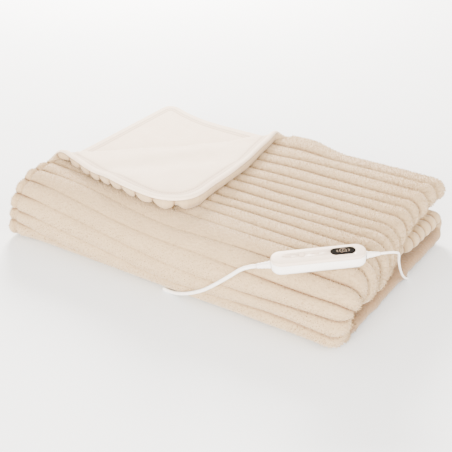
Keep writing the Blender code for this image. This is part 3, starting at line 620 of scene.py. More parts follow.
def folded(along, rib):
    """Joint between the panels, at a place on the flat cloth, before the corner is turned."""
    run = run_at(rib, min(along, TOTAL - along))
    end = end_at(run)
    y, z, out_y, out_z = section_at(run)
    radius = HALF_PAIR + end.puff
    uneven = noise.noise(Vector((rib * RAGGED_READING[0], *RAGGED_READING[1:])))
    x_turn = end.x_out - radius - end.crest + RAGGED * uneven
    past = along - SIDE - TURN
    if along <= SIDE:
        x, offset = mix(end.left, x_turn, along / SIDE), HALF_PAIR
    elif past < 0.0:
        angle = pi * (along - SIDE) / TURN
        power = 2.0 + BOXY * end.puff
        square = (abs(sin(angle)) ** power + abs(cos(angle)) ** power) ** (-1.0 / power)
        x = x_turn + radius * sin(angle) * square
        offset = HALF_PAIR - radius * (1.0 - cos(angle) * square)
    else:
        x = mix(x_turn, end.left, past / SIDE)
        offset = -HALF_PAIR - 2.0 * end.puff * (1.0 - smooth(past / PUFF_RETURN))
    y += offset * out_y
    z += offset * out_z

    drawn = max(1.0 - x / CORNER_DRAW_LENGTH, 0.0)
    y += CORNER_DRAW * min(drawn, 1.0) ** 2 * smooth((y - DRAW_FROM) / DRAW_EASE)
    droop = max(1.0 - run / DROOP_RUN, 0.0)
    z -= BACK_DROOP * min(droop, 1.0) ** 2 * smooth((x - DROOP_FROM) / DROOP_EASE)
    bottom = smooth((run - BOTTOM_START) / BOTTOM_EASE)
    bottom *= 1.0 - smooth((run - BOTTOM_END) / BOTTOM_EASE)
    z += edge_lift(x) * bottom
    flare = FLARE * min(max(1.0 - x / FLARE_LENGTH, 0.0), FLARE_MOST) ** 2
    y -= flare * smooth((FLARE_HEIGHT - z) / FLARE_EASE) * (1.0 - smooth(y / FLARE_DEPTH))
    return Vector((x, y, z))


CREASE_LINE = (CREASE_BACK - CREASE_LEFT).normalized()
CREASE_OUT = Vector((-CREASE_LINE.y, CREASE_LINE.x))
CREASE_LENGTH = (CREASE_BACK - CREASE_LEFT).length


def from_crease(along, rib):
    """Distance past the crease towards the corner, the foot of it, and the roll there."""
    place = Vector((along, BACK_EDGE - RIB * rib))
    past = (place - CREASE_LEFT).dot(CREASE_OUT)
    foot = place - CREASE_OUT * past
    share = min(max((foot - CREASE_LEFT).dot(CREASE_LINE) / CREASE_LENGTH, 0.0), 1.0)
    roll = mix(ROLL_MIDDLE, mix(ROLL_LEFT, ROLL_BACK, share), (2.0 * share - 1.0) ** 4)
    return past, foot, roll, share


def crease_foot(foot):
    return folded(foot.x, (BACK_EDGE - foot.y) / RIB)


def flap_pull():
    """How the flat corner is carried over: world distance for each metre past the crease."""
    past, foot, roll, _ = from_crease(0.0, 0.0)
    start = crease_foot(foot)
    return (FLAP_TIP - Vector((start.x, start.y))) / (past - pi * roll)


FLAP_PULL = flap_pull()
FLAP_DEPTH = -FLAP_PULL.dot(CREASE_OUT)
FLAP_REST = from_crease(0.0, 0.0)[0] - pi * ROLL_MIDDLE


def flap_gap(from_line, roll, share):
    """Height of the turned cloth over the layer under it, joint to joint."""
    ridge = FLAP_RIDGE * exp(-((from_line - RIDGE_AT) / RIDGE_WIDTH) ** 2)
    trough = TROUGH * exp(-((from_line - TROUGH_AT) / TROUGH_WIDTH) ** 2)
    settled = mix(2.0 * roll, CONTACT, smooth(from_line / SETTLE))
    return settled + (ridge - trough) * sin(pi * share) ** 2


def flap_bow(along, rest):
    """The turned corner's left hem bows outward between the crease and the corner."""
    share = min(rest / FLAP_REST, 1.0)
    near = 1.0 - smooth(along / FLAP_BOW_WIDTH)
    return FLAP_BOW_WAY * FLAP_BOW * sin(pi * share ** FLAP_BOW_SKEW) * near


def cloth(along, rib):
    """Joint between the two panels, for a place on the flat cloth."""
    if along >= SIDE or rib > TOP_RIBS:
        return folded(along, rib)
    past, foot, roll, share = from_crease(along, rib)
    if past <= 0.0:
        return folded(along, rib)
    start = crease_foot(foot)
    if past < pi * roll:
        angle = past / roll
        bulge = CREASE_OUT * roll * sin(angle)
        return start + Vector((bulge.x, bulge.y, roll * (1.0 - cos(angle))))
    rest = past - pi * roll
    over = FLAP_PULL * rest + flap_bow(along, rest)
    return start + Vector((over.x, over.y, flap_gap(rest * FLAP_DEPTH, roll, share)))


def corner_radius(along):
    return TURNED_RADIUS if along < SIDE else CORNER_RADIUS


def rounded_corner(along, rib):
    """Draw the cloth's square corners at the back in to a round."""
    edge_a = min(along, TOTAL - along)
    edge_b = rib * RIB
    radius = corner_radius(along)
    if edge_a >= radius or edge_b >= radius:
        return along, rib
    inward = Vector((radius - edge_a, radius - edge_b))
    inward *= max(inward) / inward.length
    edge_a, edge_b = radius - inward.x, radius - inward.y
    return (edge_a if along < SIDE else TOTAL - edge_a), edge_b / RIB


# ---------------------------------------------------------------- the panels' thickness
INNER_RIBS = 0.395         # on the inner pair the ribs stand out only from here to its bend
INNER_EASE = 0.02
RIB_POWER = 0.43           # the smaller, the flatter the ribs and the narrower their grooves
RIBS_PAST = 0.012          # the ribs go on past the bend by this much
RIBS_FADE = 0.016          # and fade out over this length
RIB_UNEVEN = 0.0015        # the ribs are fuller in some places
NAP_UNEVEN = 0.00035       # and the pile lies in clumps
PLAIN_SHADE = 0.72         # painted shade: the plain stretches are coloured darker, like the ribs' flanks
# Where the noise is read for the two: scales for each metre along and across, and its layer.
FULL_READING = (22.0, 60.0, 1.5)
CLUMP_READING = (240.0, 300.0, 7.0)


def hem_share(along, rib):
    """Depth of the face panel near its edge, as a share: it is rounded off."""
    side = min(along, TOTAL - along)
    inward = min(min(side, rib * RIB) / HEM_ROUND, 1.0)
    pressed = STITCH_PRESS * exp(-((side - HEM_STITCH) / STITCH_WIDTH) ** 2)
    return mix(HEM_EDGE, 1.0, sqrt(1.0 - (1.0 - inward) ** 2)) * (1.0 - pressed)


def rib_round(rib):
    """Height across a rib, from 0 in its grooves to 1. The first one is full up to its hem."""
    return 1.0 if rib < 0.5 else abs(sin(pi * rib)) ** RIB_POWER


def rib_relief(along, rib, end):
    """1 where the ribs stand out, and 0 where they are pressed flat."""
    past = along - SIDE - TURN
    relief = end.relief * (1.0 - smooth((past - RIBS_PAST) / RIBS_FADE))
    if rib > TOP_RIBS + FRONT_RIBS:
        relief *= smooth((along - INNER_RIBS) / INNER_EASE)
    stretched = smooth((rib - FLAT_FROM) / FLAT_RIBS) * smooth((along - FLAT_LEFT) / FLAT_EASE)
    stretched *= 1.0 - smooth((along - FLAT_RIGHT) / FLAT_FADE)
    return relief * (1.0 - FRONT_FLAT * stretched)


def read_noise(along, rib, reading):
    """The noise for a place on the flat cloth."""
    return noise.noise(Vector((along * reading[0], rib * RIB * reading[1], reading[2])))


def pile_depth(along, rib, end):
    """Thickness of the face panel at a place on the flat cloth."""
    past = along - SIDE - TURN
    crest = mix(end.crest, end.inner, smooth((past + TURN / 2) / (TURN / 2)))
    relief = rib_relief(along, rib, end)
    full = read_noise(along, rib, FULL_READING)
    clumps = read_noise(along, rib, CLUMP_READING)
    crest += relief * (RIB_UNEVEN * full + NAP_UNEVEN * clumps)
    crest *= hem_share(along, rib)
    if along < SIDE and rib <= TOP_RIBS:
        past_crease, _, roll, share = from_crease(along, rib)
        if past_crease > 0.0:
            rest = max(past_crease - pi * roll, 0.0) * FLAP_DEPTH
        else:
            rest = -past_crease
        crest = min(crest, (flap_gap(rest, roll, share) - PRESS_GAP) / 2)
    groove = mix(KNOB_GROOVE, GROOVE, smooth(min(along, TOTAL - along) / KNOB_LENGTH))
    return crest * (1.0 - relief * (1.0 - groove) * (1.0 - rib_round(rib)))


# ---------------------------------------------------------------- the white side
SEAMS = (0.0085, 0.0130)   # the hem is sewn down this far from the edge
SEAM_WIDTH = 0.0014
SEAM_DEPTH = 0.0015
HEM_FULL = 0.0022          # the rolled hem is thicker by this much
HEM_CURL = 0.0035          # it is rounded over so far from its edge
HEM_FLAT = 0.004           # and thins again from here
HEM_FADE = 0.006
THINNEST = 0.0008          # of the white panel
FLEECE_FULL = 0.0015       # the fleece is deeper by this much inside its seams
FLEECE_SPAN = 0.02         # over this length from the seam
CORNER_REACH = 0.20        # the corner's hems and seams go this far
CORNER_FADE = 0.05
FOLD_SHADE = 0.60          # painted shade behind the crease's roll darkens the lower layer by this share
SHADE_REACH = 4.1          # as far as this many of the roll's radii
SHADE_WIDTH = 0.008
SHADE_SKEW = 0.75          # mostly towards the left hem

# Soft ridges on the turned corner, on the flat cloth in metres from its corner.
Ridge = namedtuple("Ridge", "start end width height")
RIDGES = (
    Ridge((0.015, 0.150), (0.075, 0.100), 0.010, 0.0022),
    Ridge((0.060, 0.165), (0.110, 0.120), 0.012, 0.0016),
    Ridge((0.020, 0.040), (0.070, 0.070), 0.014, 0.0016),
    Ridge((0.120, 0.020), (0.130, 0.075), 0.013, 0.0018),
    Ridge((0.185, 0.015), (0.165, 0.060), 0.010, 0.0014),
)
RIDGE_ENDS = 0.55          # height at a ridge's ends, as a share
RIDGE_EASE = 0.01          # and from the seam inwards


def ridge_height(along, across):
    """The soft ridges' height at a place."""
    total = 0.0
    place = Vector((along, across))
    for ridge in RIDGES:
        start, end = Vector(ridge.start), Vector(ridge.end)
        line = end - start
        share = min(max((place - start).dot(line) / line.length_squared, 0.0), 1.0)
        away = (place - start - line * share).length / ridge.width
        total += ridge.height * exp(-away * away) * mix(RIDGE_ENDS, 1.0, sin(pi * share))
    return total


def fleece_depth(along, rib):
    """Thickness of the white panel: a sewn hem round a slightly fuller middle."""
    inward = hem_distance(along, rib)
    shows = corner_share(along, rib)
    rolled = sqrt(1.0 - (1.0 - min(inward / HEM_CURL, 1.0)) ** 2)
    rolled *= 1.0 - smooth((inward - HEM_FLAT) / HEM_FADE)
    depth = BACK_THICKNESS + HEM_FULL * rolled * shows
    depth += FLEECE_FULL * smooth((inward - SEAMS[0]) / FLEECE_SPAN) * shows
    depth += ridge_height(along, rib * RIB) * smooth((inward - SEAMS[1]) / RIDGE_EASE)
    depth -= SEAM_DEPTH * seam_share(along, rib) * shows
    return max(depth, THINNEST)


def seam_share(along, rib):
    """1 on the hem's two seams, falling off beside them."""
    inward = hem_distance(along, rib)
    return sum(exp(-((inward - seam) / SEAM_WIDTH) ** 2) for seam in SEAMS)


def fold_shade(along, rib):
    """Painted shade on the lower layer behind the crease's roll: the share by which its colour is
    darkened.
    """
    mirrored = TOTAL - along
    if mirrored >= SIDE or rib > TOP_RIBS:
        return 0.0
    past, _, roll, share = from_crease(mirrored, rib)
    if past <= 0.0 or not 0.0 < share < 1.0:
        return 0.0
    away = max(past - SHADE_REACH * roll, 0.0) / SHADE_WIDTH
    return FOLD_SHADE * exp(-away * away) * sin(pi * share ** SHADE_SKEW)


def hem_distance(along, rib):
    """Distance from the nearest hem, round the cloth's rounded corners."""
    side, back = min(along, TOTAL - along), rib * RIB
    radius = corner_radius(along)
    if side >= radius or back >= radius:
        return min(side, back)
    return max(radius - Vector((radius - side, radius - back)).length, 0.0)


def corner_share(along, rib):
    """1 on the white corner that shows, and 0 where the white sides face each other."""
    across = rib * RIB
    shown = 1.0 - smooth((along - CORNER_REACH) / CORNER_FADE)
    return shown * (1.0 - smooth((across - CORNER_REACH) / CORNER_FADE))


# ---------------------------------------------------------------- the panels' meshes
HEM_STEPS = (
    0.0, 0.0008, 0.0020, 0.0035, 0.0055, 0.0072, 0.0085, 0.0098, 0.0115, 0.0130, 0.0145, 0.0170,
)
HEM_STEPS_GAP = 0.003      # from the last of these to the first column
COLUMN_STEP = 0.0038
TURN_STEPS = 18
RETURN_FINE = 0.055
COARSE_STEP = 0.022
FIRST_RIB_STEPS = (
    0.0, 0.035, 0.09, 0.16, 0.25, 0.33, 0.39, 0.45, 0.53, 0.60, 0.67, 0.75, 0.84, 0.92,
)
RIB_STEPS = (0.0, 0.035, 0.09, 0.18, 0.32, 0.5, 0.68, 0.82, 0.91, 0.965)
RIBBED_ONLY = (0.035, 0.09, 0.32, 0.68, 0.91, 0.965)    # the white panel does without these
INNER_STEPS = (0.0, 0.08, 0.25, 0.5, 0.75, 0.92)
INNER_END = 0.744          # distance along the section at which the inner pair's ribs end
BACK_BEND = 5              # the stretch of the section that bends at the back
BEND_STEPS = 12
SLACK_STEP = 0.5


def cloth_columns():
    """Distances along the ribs at which the panels have edges."""
    first = HEM_STEPS[-1] + HEM_STEPS_GAP
    places = list(HEM_STEPS) + spaced(first, SIDE, COLUMN_STEP)
    places += spaced(SIDE, SIDE + TURN, TURN / TURN_STEPS)
    places += spaced(SIDE + TURN, SIDE + TURN + RETURN_FINE, COLUMN_STEP)
    places += spaced(SIDE + TURN + RETURN_FINE, TOTAL - first, COARSE_STEP)
    return places + [TOTAL - first] + [TOTAL - place for place in reversed(HEM_STEPS)]


def cloth_rows():
    """Rib counts at which the panels have edges."""
    last_front = TOP_RIBS + FRONT_RIBS
    bend_start = sum(stretch.length for stretch in SECTION[:BACK_BEND])
    bend_end = bend_start + SECTION[BACK_BEND].length
    rows = list(FIRST_RIB_STEPS)
    rows += [rib + step for rib in range(1, last_front) for step in RIB_STEPS]
    rows += spaced(last_front, rib_at(bend_start), SLACK_STEP)
    bend_step = SECTION[BACK_BEND].length / BEND_STEPS
    rows += [rib_at(run) for run in spaced(bend_start, bend_end, bend_step)]
    first_inner = int(rib_at(bend_end)) + 1
    last_inner = int(rib_at(INNER_END)) + 1
    rows += [rib_at(bend_end)]
    rows += [rib + step for rib in range(first_inner, last_inner) for step in INNER_STEPS]
    rows += spaced(last_inner, LAST_RIB, SLACK_STEP) + [LAST_RIB]
    return rows


def joint_surface(along_places, ribs):
    """Points of the joint between the panels, their outward directions and flat places."""
    flat = [[rounded_corner(along, rib) for along in along_places] for rib in ribs]
    points = np.array([[cloth(*place) for place in row] for row in flat])
    across, length = np.gradient(points, axis=0), np.gradient(points, axis=1)
    outward = np.cross(across, length)
    outward /= np.linalg.norm(outward, axis=2, keepdims=True)
    return flat, points, outward


def slab_faces(rows, columns):
    """Quads of a slab with an upper and a lower grid of points, and its rim."""
    under = rows * columns
    upper = np.arange(under).reshape(rows, columns)
    corners = [upper[:-1, :-1], upper[1:, :-1], upper[1:, 1:], upper[:-1, 1:]]
    above = np.stack(corners, axis=-1).reshape(-1, 4)
    below = above[:, [0, 3, 2, 1]] + under
    ring = np.concatenate([upper[0, :-1], upper[:-1, -1], upper[-1, :0:-1], upper[:0:-1, 0]])
    onward = np.roll(ring, -1)
    rim = np.stack([ring, onward, onward + under, ring + under], axis=-1)
    return np.concatenate([above, below, rim])


def store(mesh, name, upper, lower, kind="FLOAT", key="value"):
    """Store a grid of values for each side of a panel on its mesh."""
    both = np.array([upper, lower], np.float32)
    mesh.attributes.new(name, kind, "POINT").data.foreach_set(key, both.ravel())


def panel_mesh(name, flat, upper, lower, colour_shares):
    """A closed mesh between two grids of points, with its flat place stored, and the share its colour
    ramp reads: pile height on the ribbed panel and seams on the white one, each with painted shade.
    """
    mesh = bpy.data.meshes.new(name)
    points = np.concatenate([upper.reshape(-1, 3), lower.reshape(-1, 3)]) - np.array(PACK_CENTRE)
    mesh.from_pydata(points.tolist(), [], slab_faces(*upper.shape[:2]).tolist())
    places = [[(along, rib * RIB, 0.0) for along, rib in row] for row in flat]
    store(mesh, "flat_place", places, places, "FLOAT_VECTOR", "vector")
    store(mesh, "pile_height", colour_shares, colour_shares)
    mesh.shade_smooth()
    mesh.update()
    return mesh


def add_ribbed_panel(surface, material):
    """The beige face panel, ribs outward."""
    flat, points, outward = surface
    depths = np.zeros(points.shape[:2])
    colour_shares = np.zeros(points.shape[:2])
    for i, row in enumerate(flat):
        for j, (along, rib) in enumerate(row):
            end = end_at(run_at(rib, min(along, TOTAL - along)))
            depth = pile_depth(along, rib, end)
            relief = rib_relief(along, rib, end)
            # pile height, less the painted shade on the plain stretches; the ramp paints the grooves
            # darker
            colour_shares[i, j] = 1.0 - relief * (1.0 - rib_round(rib)) - PLAIN_SHADE * (1.0 - end.relief)
            down = outward[i, j, 2]
            if down < 0.0:
                depth = min(depth, (points[i, j, 2] - edge_lift(points[i, j, 0])) / -down)
            depths[i, j] = depth
    upper = points + outward * depths[..., None]
    lower = points + outward * PANEL_GAP / 2
    mesh = panel_mesh("ribbed_panel", flat, upper, lower, colour_shares)
    return add_object("ribbed_panel", mesh, material)


def add_white_panel(surface, ribs, material):
    """The white back panel, inside the fold except on the turned corner."""
    flat, points, outward = surface
    kept = [i for i, rib in enumerate(ribs) if rib < 1.0 or round(rib % 1.0, 6) not in RIBBED_ONLY]
    flat, points, outward = [flat[i] for i in kept], points[kept], outward[kept]
    depths = np.array([[fleece_depth(*place) for place in row] for row in flat])
    # 1 less the seams and the painted shade behind the crease's roll
    sewn = np.array([[1.0 - seam_share(*place) - fold_shade(*place) for place in row] for row in flat])
    upper = points - outward * PANEL_GAP / 2
    lower = points - outward * (PANEL_GAP / 2 + depths[..., None])
    mesh = panel_mesh("white_panel", flat, upper, lower, sewn)
    return add_object("white_panel", mesh, material)


# ---------------------------------------------------------------- node trees
def new_tree(name, **inputs):
    """A Geometry Nodes tree with named inputs, what its input node gives, and its sockets."""
    tree = bpy.data.node_groups.new(name, "GeometryNodeTree")
    tree.interface.new_socket("Geometry", in_out="INPUT", socket_type="NodeSocketGeometry")
    sockets = {}
    for key, value in inputs.items():
        kind = "NodeSocketInt" if isinstance(value, int) else "NodeSocketFloat"
        made = tree.interface.new_socket(key, in_out="INPUT", socket_type=kind)
        sockets[key] = made.identifier
    tree.interface.new_socket("Geometry", in_out="OUTPUT", socket_type="NodeSocketGeometry")
    return tree, tree.nodes.new("NodeGroupInput").outputs, sockets


def end_tree(tree, placed, material):
    """Make the placed copies real and give them their material."""
    real = add_node(tree, "GeometryNodeRealizeInstances", {"Geometry": placed.outputs["Instances"]})
    inputs = {"Geometry": real.outputs["Geometry"], "Material": material}
    finish = add_node(tree, "GeometryNodeSetMaterial", inputs)
    add_node(tree, "NodeGroupOutput", {"Geometry": finish.outputs["Geometry"]})


def product(tree, first, second):
    """Two numbers multiplied."""
    return add_node(tree, "ShaderNodeMath", {0: first, 1: second}, operation="MULTIPLY").outputs[0]


def stored_number(tree, name):
    """A number that is stored on the source's mesh."""
    node = add_node(tree, "GeometryNodeInputNamedAttribute", {"Name": name}, data_type="FLOAT")
    return node.outputs["Attribute"]


def made_by_tree(name, source, tree, sockets, values, material):
    """The plain mesh that a tree makes from a source object."""
    maker = source.modifiers.new(name, "NODES")
    maker.node_group = tree
    for key, value in values.items():
        maker[sockets[key]] = value
    graph = bpy.context.evaluated_depsgraph_get()
    mesh = bpy.data.meshes.new_from_object(source.evaluated_get(graph))
    source.modifiers.remove(maker)
    mesh.name = name
    return add_object(name, mesh, material)


FACING_FLOOR = -0.5        # no pile stands where the cloth faces down more than this
SHORTEST = 0.6             # sizes of the tufts, as shares of their length and width
LONGEST = 1.25
PILE_END = 0.02            # the pile ends so far past the right-hand bend
PRESSED_FROM = 0.6         # and on the roll at this share of its turn
HEM_PILE = 0.006           # but for so much along the hems
BRUSHED_UP = 0.25          # the pile is longer by this share at the right-hand bend
BRUSHED_LENGTH = 0.07      # and from so far before it
# Tufts for each square metre, a tuft's length and width, its greatest lean in radians, and the seed.
PILE = {"Density": 235000.0, "Length": 0.0018, "Width": 0.00040, "Lean": 0.60, "Seed": 7}


def pile_tree(material):
    """Tufts standing on the ribs, leaning each its own way."""
    tree, given, sockets = new_tree("plush_pile", **PILE)
    density = product(tree, given["Density"], stored_number(tree, "nap"))
    inputs = {"Mesh": given["Geometry"], "Density": density, "Seed": given["Seed"]}
    scatter = add_node(tree, "GeometryNodeDistributePointsOnFaces", inputs)
    inputs = {"Vertices": 3, "Radius Bottom": given["Width"], "Depth": given["Length"]}
    tuft = add_node(tree, "GeometryNodeMeshCone", inputs, fill_type="NGON")
    lowest = product(tree, given["Lean"], -1.0)
    inputs = {"Min": lowest, "Max": given["Lean"], "Seed": given["Seed"]}
    lean = add_node(tree, "FunctionNodeRandomValue", inputs, data_type="FLOAT_VECTOR")
    inputs = {"Rotation": scatter.outputs["Rotation"], "Rotate By": lean.outputs["Value"]}
    turn = add_node(tree, "FunctionNodeRotateRotation", inputs, rotation_space="LOCAL")
    size = add_node(tree, "FunctionNodeRandomValue", {2: SHORTEST, 3: LONGEST}, data_type="FLOAT")
    placed = add_node(tree, "GeometryNodeInstanceOnPoints", {
        "Points": scatter.outputs["Points"],
        "Instance": tuft.outputs["Mesh"],
        "Rotation": turn.outputs["Rotation"],
        "Scale": product(tree, size.outputs[1], stored_number(tree, "nap_size")),
    })
    end_tree(tree, placed, material)
    return tree, sockets


def nap_weight(along, rib):
    """1 where the pile shows, 0 where it lies against other cloth."""
    if along > SIDE + TURN + PILE_END or rib > TOP_RIBS + FRONT_RIBS:
        return 0.0
    if along < SIDE and rib <= TOP_RIBS:
        past, _, roll, _ = from_crease(along, rib)
        if past > pi * roll * PRESSED_FROM:
            return 1.0 if min(along, rib * RIB) < HEM_PILE else 0.0
    return 1.0


def nap_size(along):
    """The pile stands longer round the right-hand bend, where the cloth is stretched open."""
    return 1.0 + BRUSHED_UP * smooth((along - SIDE + BRUSHED_LENGTH) / BRUSHED_LENGTH)


def add_pile(panel, surface, material):
    flat, _, outward = surface
    weights = np.array([[nap_weight(*place) for place in row] for row in flat])
    weights *= outward[..., 2] > FACING_FLOOR
    sizes = [[nap_size(along) for along, _ in row] for row in flat]
    store(panel.data, "nap", weights, 0.0 * weights)
    store(panel.data, "nap_size", sizes, sizes)
    tree, sockets = pile_tree(material)
    return made_by_tree("plush_pile", panel, tree, sockets, PILE, material)


# The stitches' pitch, and half the length and width of one.
STITCH = {"Pitch": 0.0036, "Length": 0.0011, "Width": 0.00028}


def stitch_tree(material):
    """Stitches along a line."""
    tree, given, sockets = new_tree("hem_stitches", **STITCH)
    inputs = {"Curve": given["Geometry"], "Length": given["Pitch"]}
    line = add_node(tree, "GeometryNodeResampleCurve", inputs, mode="LENGTH")
    ball = add_node(tree, "GeometryNodeMeshIcoSphere", {"Radius": 1.0, "Subdivisions": 2})
    inputs = {"X": given["Width"], "Y": given["Width"], "Z": given["Length"]}
    shape = add_node(tree, "ShaderNodeCombineXYZ", inputs)
    way = add_node(tree, "GeometryNodeInputTangent", {}).outputs["Tangent"]
    turn = add_node(tree, "FunctionNodeAlignRotationToVector", {"Vector": way}, axis="Z")
    placed = add_node(tree, "GeometryNodeInstanceOnPoints", {
        "Points": line.outputs["Curve"],
        "Instance": ball.outputs["Mesh"],
        "Rotation": turn.outputs["Rotation"],
        "Scale": shape.outputs["Vector"],
    })
    end_tree(tree, placed, material)
    return tree, sockets


SEAM_REACH = 0.26          # each seam goes this far from its corner
SEAM_STEP = 0.003
SEAM_TURN_POINTS = 12      # round the corner
NORMAL_STEP = 0.0004       # for reading the cloth's slope
STITCH_SUNK = 0.4          # a stitch is sunk by this share of its width


def seam_places(inset, radius):
    """Flat places along the hem's seam, round a corner both ways."""
    left = [(inset, across) for across in np.arange(SEAM_REACH, radius, -SEAM_STEP)]
    turn = [(radius - (radius - inset) * sin(angle), radius - (radius - inset) * cos(angle))
            for angle in np.linspace(pi / 2, 0.0, SEAM_TURN_POINTS)]
    back = [(along, inset) for along in np.arange(radius + SEAM_STEP, SEAM_REACH, SEAM_STEP)]
    return left + turn + back


def seam_line(inset, far_side):
    """World points of the seam, on the white side of the cloth."""
    points = []
    for along, across in seam_places(inset, CORNER_RADIUS if far_side else TURNED_RADIUS):
        rib = across / RIB
        if far_side:
            along = TOTAL - along
        over = cloth(along, rib + NORMAL_STEP / RIB) - cloth(along, rib - NORMAL_STEP / RIB)
        onward = cloth(along + NORMAL_STEP, rib) - cloth(along - NORMAL_STEP, rib)
        outward = over.cross(onward).normalized()
        depth = PANEL_GAP / 2 + fleece_depth(along, rib) + STITCH["Width"] * STITCH_SUNK
        points.append(cloth(along, rib) - outward * depth - PACK_CENTRE)
    return points


def add_stitches(material):
    tree, sockets = stitch_tree(material)
    pieces = []
    for name, inset, far_side in (
        ("corner_stitches", SEAMS[0], False),
        ("corner_inner_stitches", SEAMS[1], False),
        ("lower_corner_stitches", SEAMS[0], True),
    ):
        curve = line_curve(name + "_line", seam_line(inset, far_side))
        line = bpy.data.objects.new(name + "_line", curve)
        bpy.context.scene.collection.objects.link(line)
        pieces.append(made_by_tree(name, line, tree, sockets, STITCH, material))
        bpy.data.objects.remove(line, do_unlink=True)
    return pieces


def add_blanket(materials):
    ribs = cloth_rows()
    surface = joint_surface(cloth_columns(), ribs)
    ribbed = add_ribbed_panel(surface, materials["plush"])
    white = add_white_panel(surface, ribs, materials["fleece"])
    pile = add_pile(ribbed, surface, materials["plush"])
    stitches = add_stitches(materials["thread"])
    finish_piece(ribbed, "ribbed_plush", "blanket_face")
    finish_piece(white, "white_plush", "blanket_back")
    finish_piece(pile, "ribbed_plush")
    for piece in stitches:
        finish_piece(piece, "white_plush")


# ---------------------------------------------------------------- the controller
END_ROUND = 0.0108         # its ends are rounded in plan
COVER_HEIGHT = 0.0042
COVER_ROUND = 0.0020
COVER_CROWN = 0.0004
BASE_ROUND = 0.0052
OUTLINE_STEPS = 14         # for each quarter of the outline
SEAM_ROUND = 0.0003        # the edges of the seam between shell and cover
FOOT_INSET = 0.90          # where the foot's flat ends, as a share of END_ROUND
CROWN_INSET = 0.92         # and the crown's
CROWN_SHARES = (0.3, 0.6, 1.0)
SHARP_ANGLE = radians(50)
MERGE_WITHIN = 1e-6
INLAY_DEPTH = 0.0012
PILL_END = 0.498           # end radius of an inlay, as a share of its width

# Pieces let in to the cover. along: place from the middle; length, width: outline.
Inlay = namedtuple("Inlay", "name along length width")
INLAYS = (
    Inlay("display_window", 0.0250, 0.0255, 0.0108),
    Inlay("key_power", -0.0170, 0.0062, 0.0062),
    Inlay("key_less", -0.0315, 0.0060, 0.0020),
    Inlay("key_more", -0.0021, 0.0050, 0.0020),
)


def outline(length, width, corner):
    """Points round a rectangle with rounded corners, anticlockwise."""
    points = []
    for x, y, start in ((1, 1, 0.0), (-1, 1, 0.5), (-1, -1, 1.0), (1, -1, 1.5)):
        middle = Vector((x * (length / 2 - corner), y * (width / 2 - corner)))
        for step in range(OUTLINE_STEPS + 1):
            angle = pi * (start + 0.5 * step / OUTLINE_STEPS)
            points.append(middle + Vector((cos(angle), sin(angle))) * corner)
    return points


def mesh_from(bm, name):
    """The mesh of a closed form, its faces turned outwards."""
    bmesh.ops.recalc_face_normals(bm, faces=bm.faces)
    mesh = bpy.data.meshes.new(name)
    bm.to_mesh(mesh)
    bm.free()
    return mesh


def lofted(name, length, width, corner, profile, material):
    """A closed block lofted from its foot to its top through (inset, height) pairs."""
    bm = bmesh.new()
    rings = []
    for inset, height in profile:
        around = outline(length - 2 * inset, width - 2 * inset, max(corner - inset, 0.0001))
        rings.append([bm.verts.new((*point, height)) for point in around])
    for near, far in zip(rings, rings[1:]):
        for index in range(len(near)):
            onward = (index + 1) % len(near)
            bm.faces.new((near[index], near[onward], far[onward], far[index]))
    bm.faces.new(reversed(rings[0]))
    bm.faces.new(rings[-1])
    bmesh.ops.remove_doubles(bm, verts=bm.verts, dist=MERGE_WITHIN)
    mesh = mesh_from(bm, name)
    mesh.shade_smooth()
    mesh.set_sharp_from_angle(angle=SHARP_ANGLE)
    return add_object(name, mesh, material)


def round_over(radius, inset, height, start, end, steps):
    """Profile points round an edge, from one angle in degrees to another."""
    points = []
    for step in range(steps + 1):
        angle = radians(mix(start, end, step / steps))
        points.append((inset + radius * (1.0 - cos(angle)), height + radius * sin(angle)))
    return points


def base_profile():
    """From the foot, round its lower rim, up to the seam."""
    half = CONTROL_SIZE.z / 2
    top = half - COVER_HEIGHT
    rim = round_over(BASE_ROUND, 0.0, -half + BASE_ROUND, -90, 0, 10)
    foot = [(END_ROUND * FOOT_INSET, -half)]
    return foot + rim + [(0.0, top - SEAM_ROUND), (SEAM_ROUND, top)]


def cover_profile():
    """From the seam, round its upper rim, to a slightly crowned top."""
    half = CONTROL_SIZE.z / 2
    foot = half - COVER_HEIGHT + GAP
    rim = round_over(COVER_ROUND, 0.0, half - COVER_ROUND - COVER_CROWN, 0, 90, 8)
    crown = [(mix(COVER_ROUND, END_ROUND * CROWN_INSET, share), half - COVER_CROWN * (1.0 - share) ** 2)
             for share in CROWN_SHARES]
    return [(SEAM_ROUND, foot), (0.0, foot + SEAM_ROUND)] + rim + crown


def sink_pocket(cover, inlay):
    """Cut the pocket in which an inlay sits."""
    corner = inlay.width * PILL_END + GAP
    height = CONTROL_SIZE.z / 2
    low = height - INLAY_DEPTH - GAP
    profile = [(0.0, low), (0.0, height + INLAY_DEPTH)]
    pocket = lofted("pocket", inlay.length + 2 * GAP, inlay.width + 2 * GAP, corner, profile,
                    cover.data.materials[0])
    pocket.data.transform(Matrix.Translation((inlay.along, 0.0, 0.0)))
    sink = cover.modifiers.new("pocket", "BOOLEAN")
    sink.operation = "DIFFERENCE"
    sink.solver = "EXACT"
    sink.object = pocket
    graph = bpy.context.evaluated_depsgraph_get()
    cut = bpy.data.meshes.new_from_object(cover.evaluated_get(graph))
    cover.modifiers.clear()
    cover.data = cut
    bpy.data.objects.remove(pocket, do_unlink=True)


TIP_WALL = 0.0005          # wall round the lead at a sleeve's tip
SLEEVE_EDGE = 0.0003       # its rims are cut by this much
ROOT_EDGE = 0.0004
RING_LIP = 0.0001          # each ring's edge is lower by this much
RING_CUT = 0.0004          # and the cut after it by this much
RING_SHARES = (0.55, 0.63, 0.72, 0.90)    # of its pitch: its end, its lip's, the cut's start and end
SLEEVE_STEPS = 32


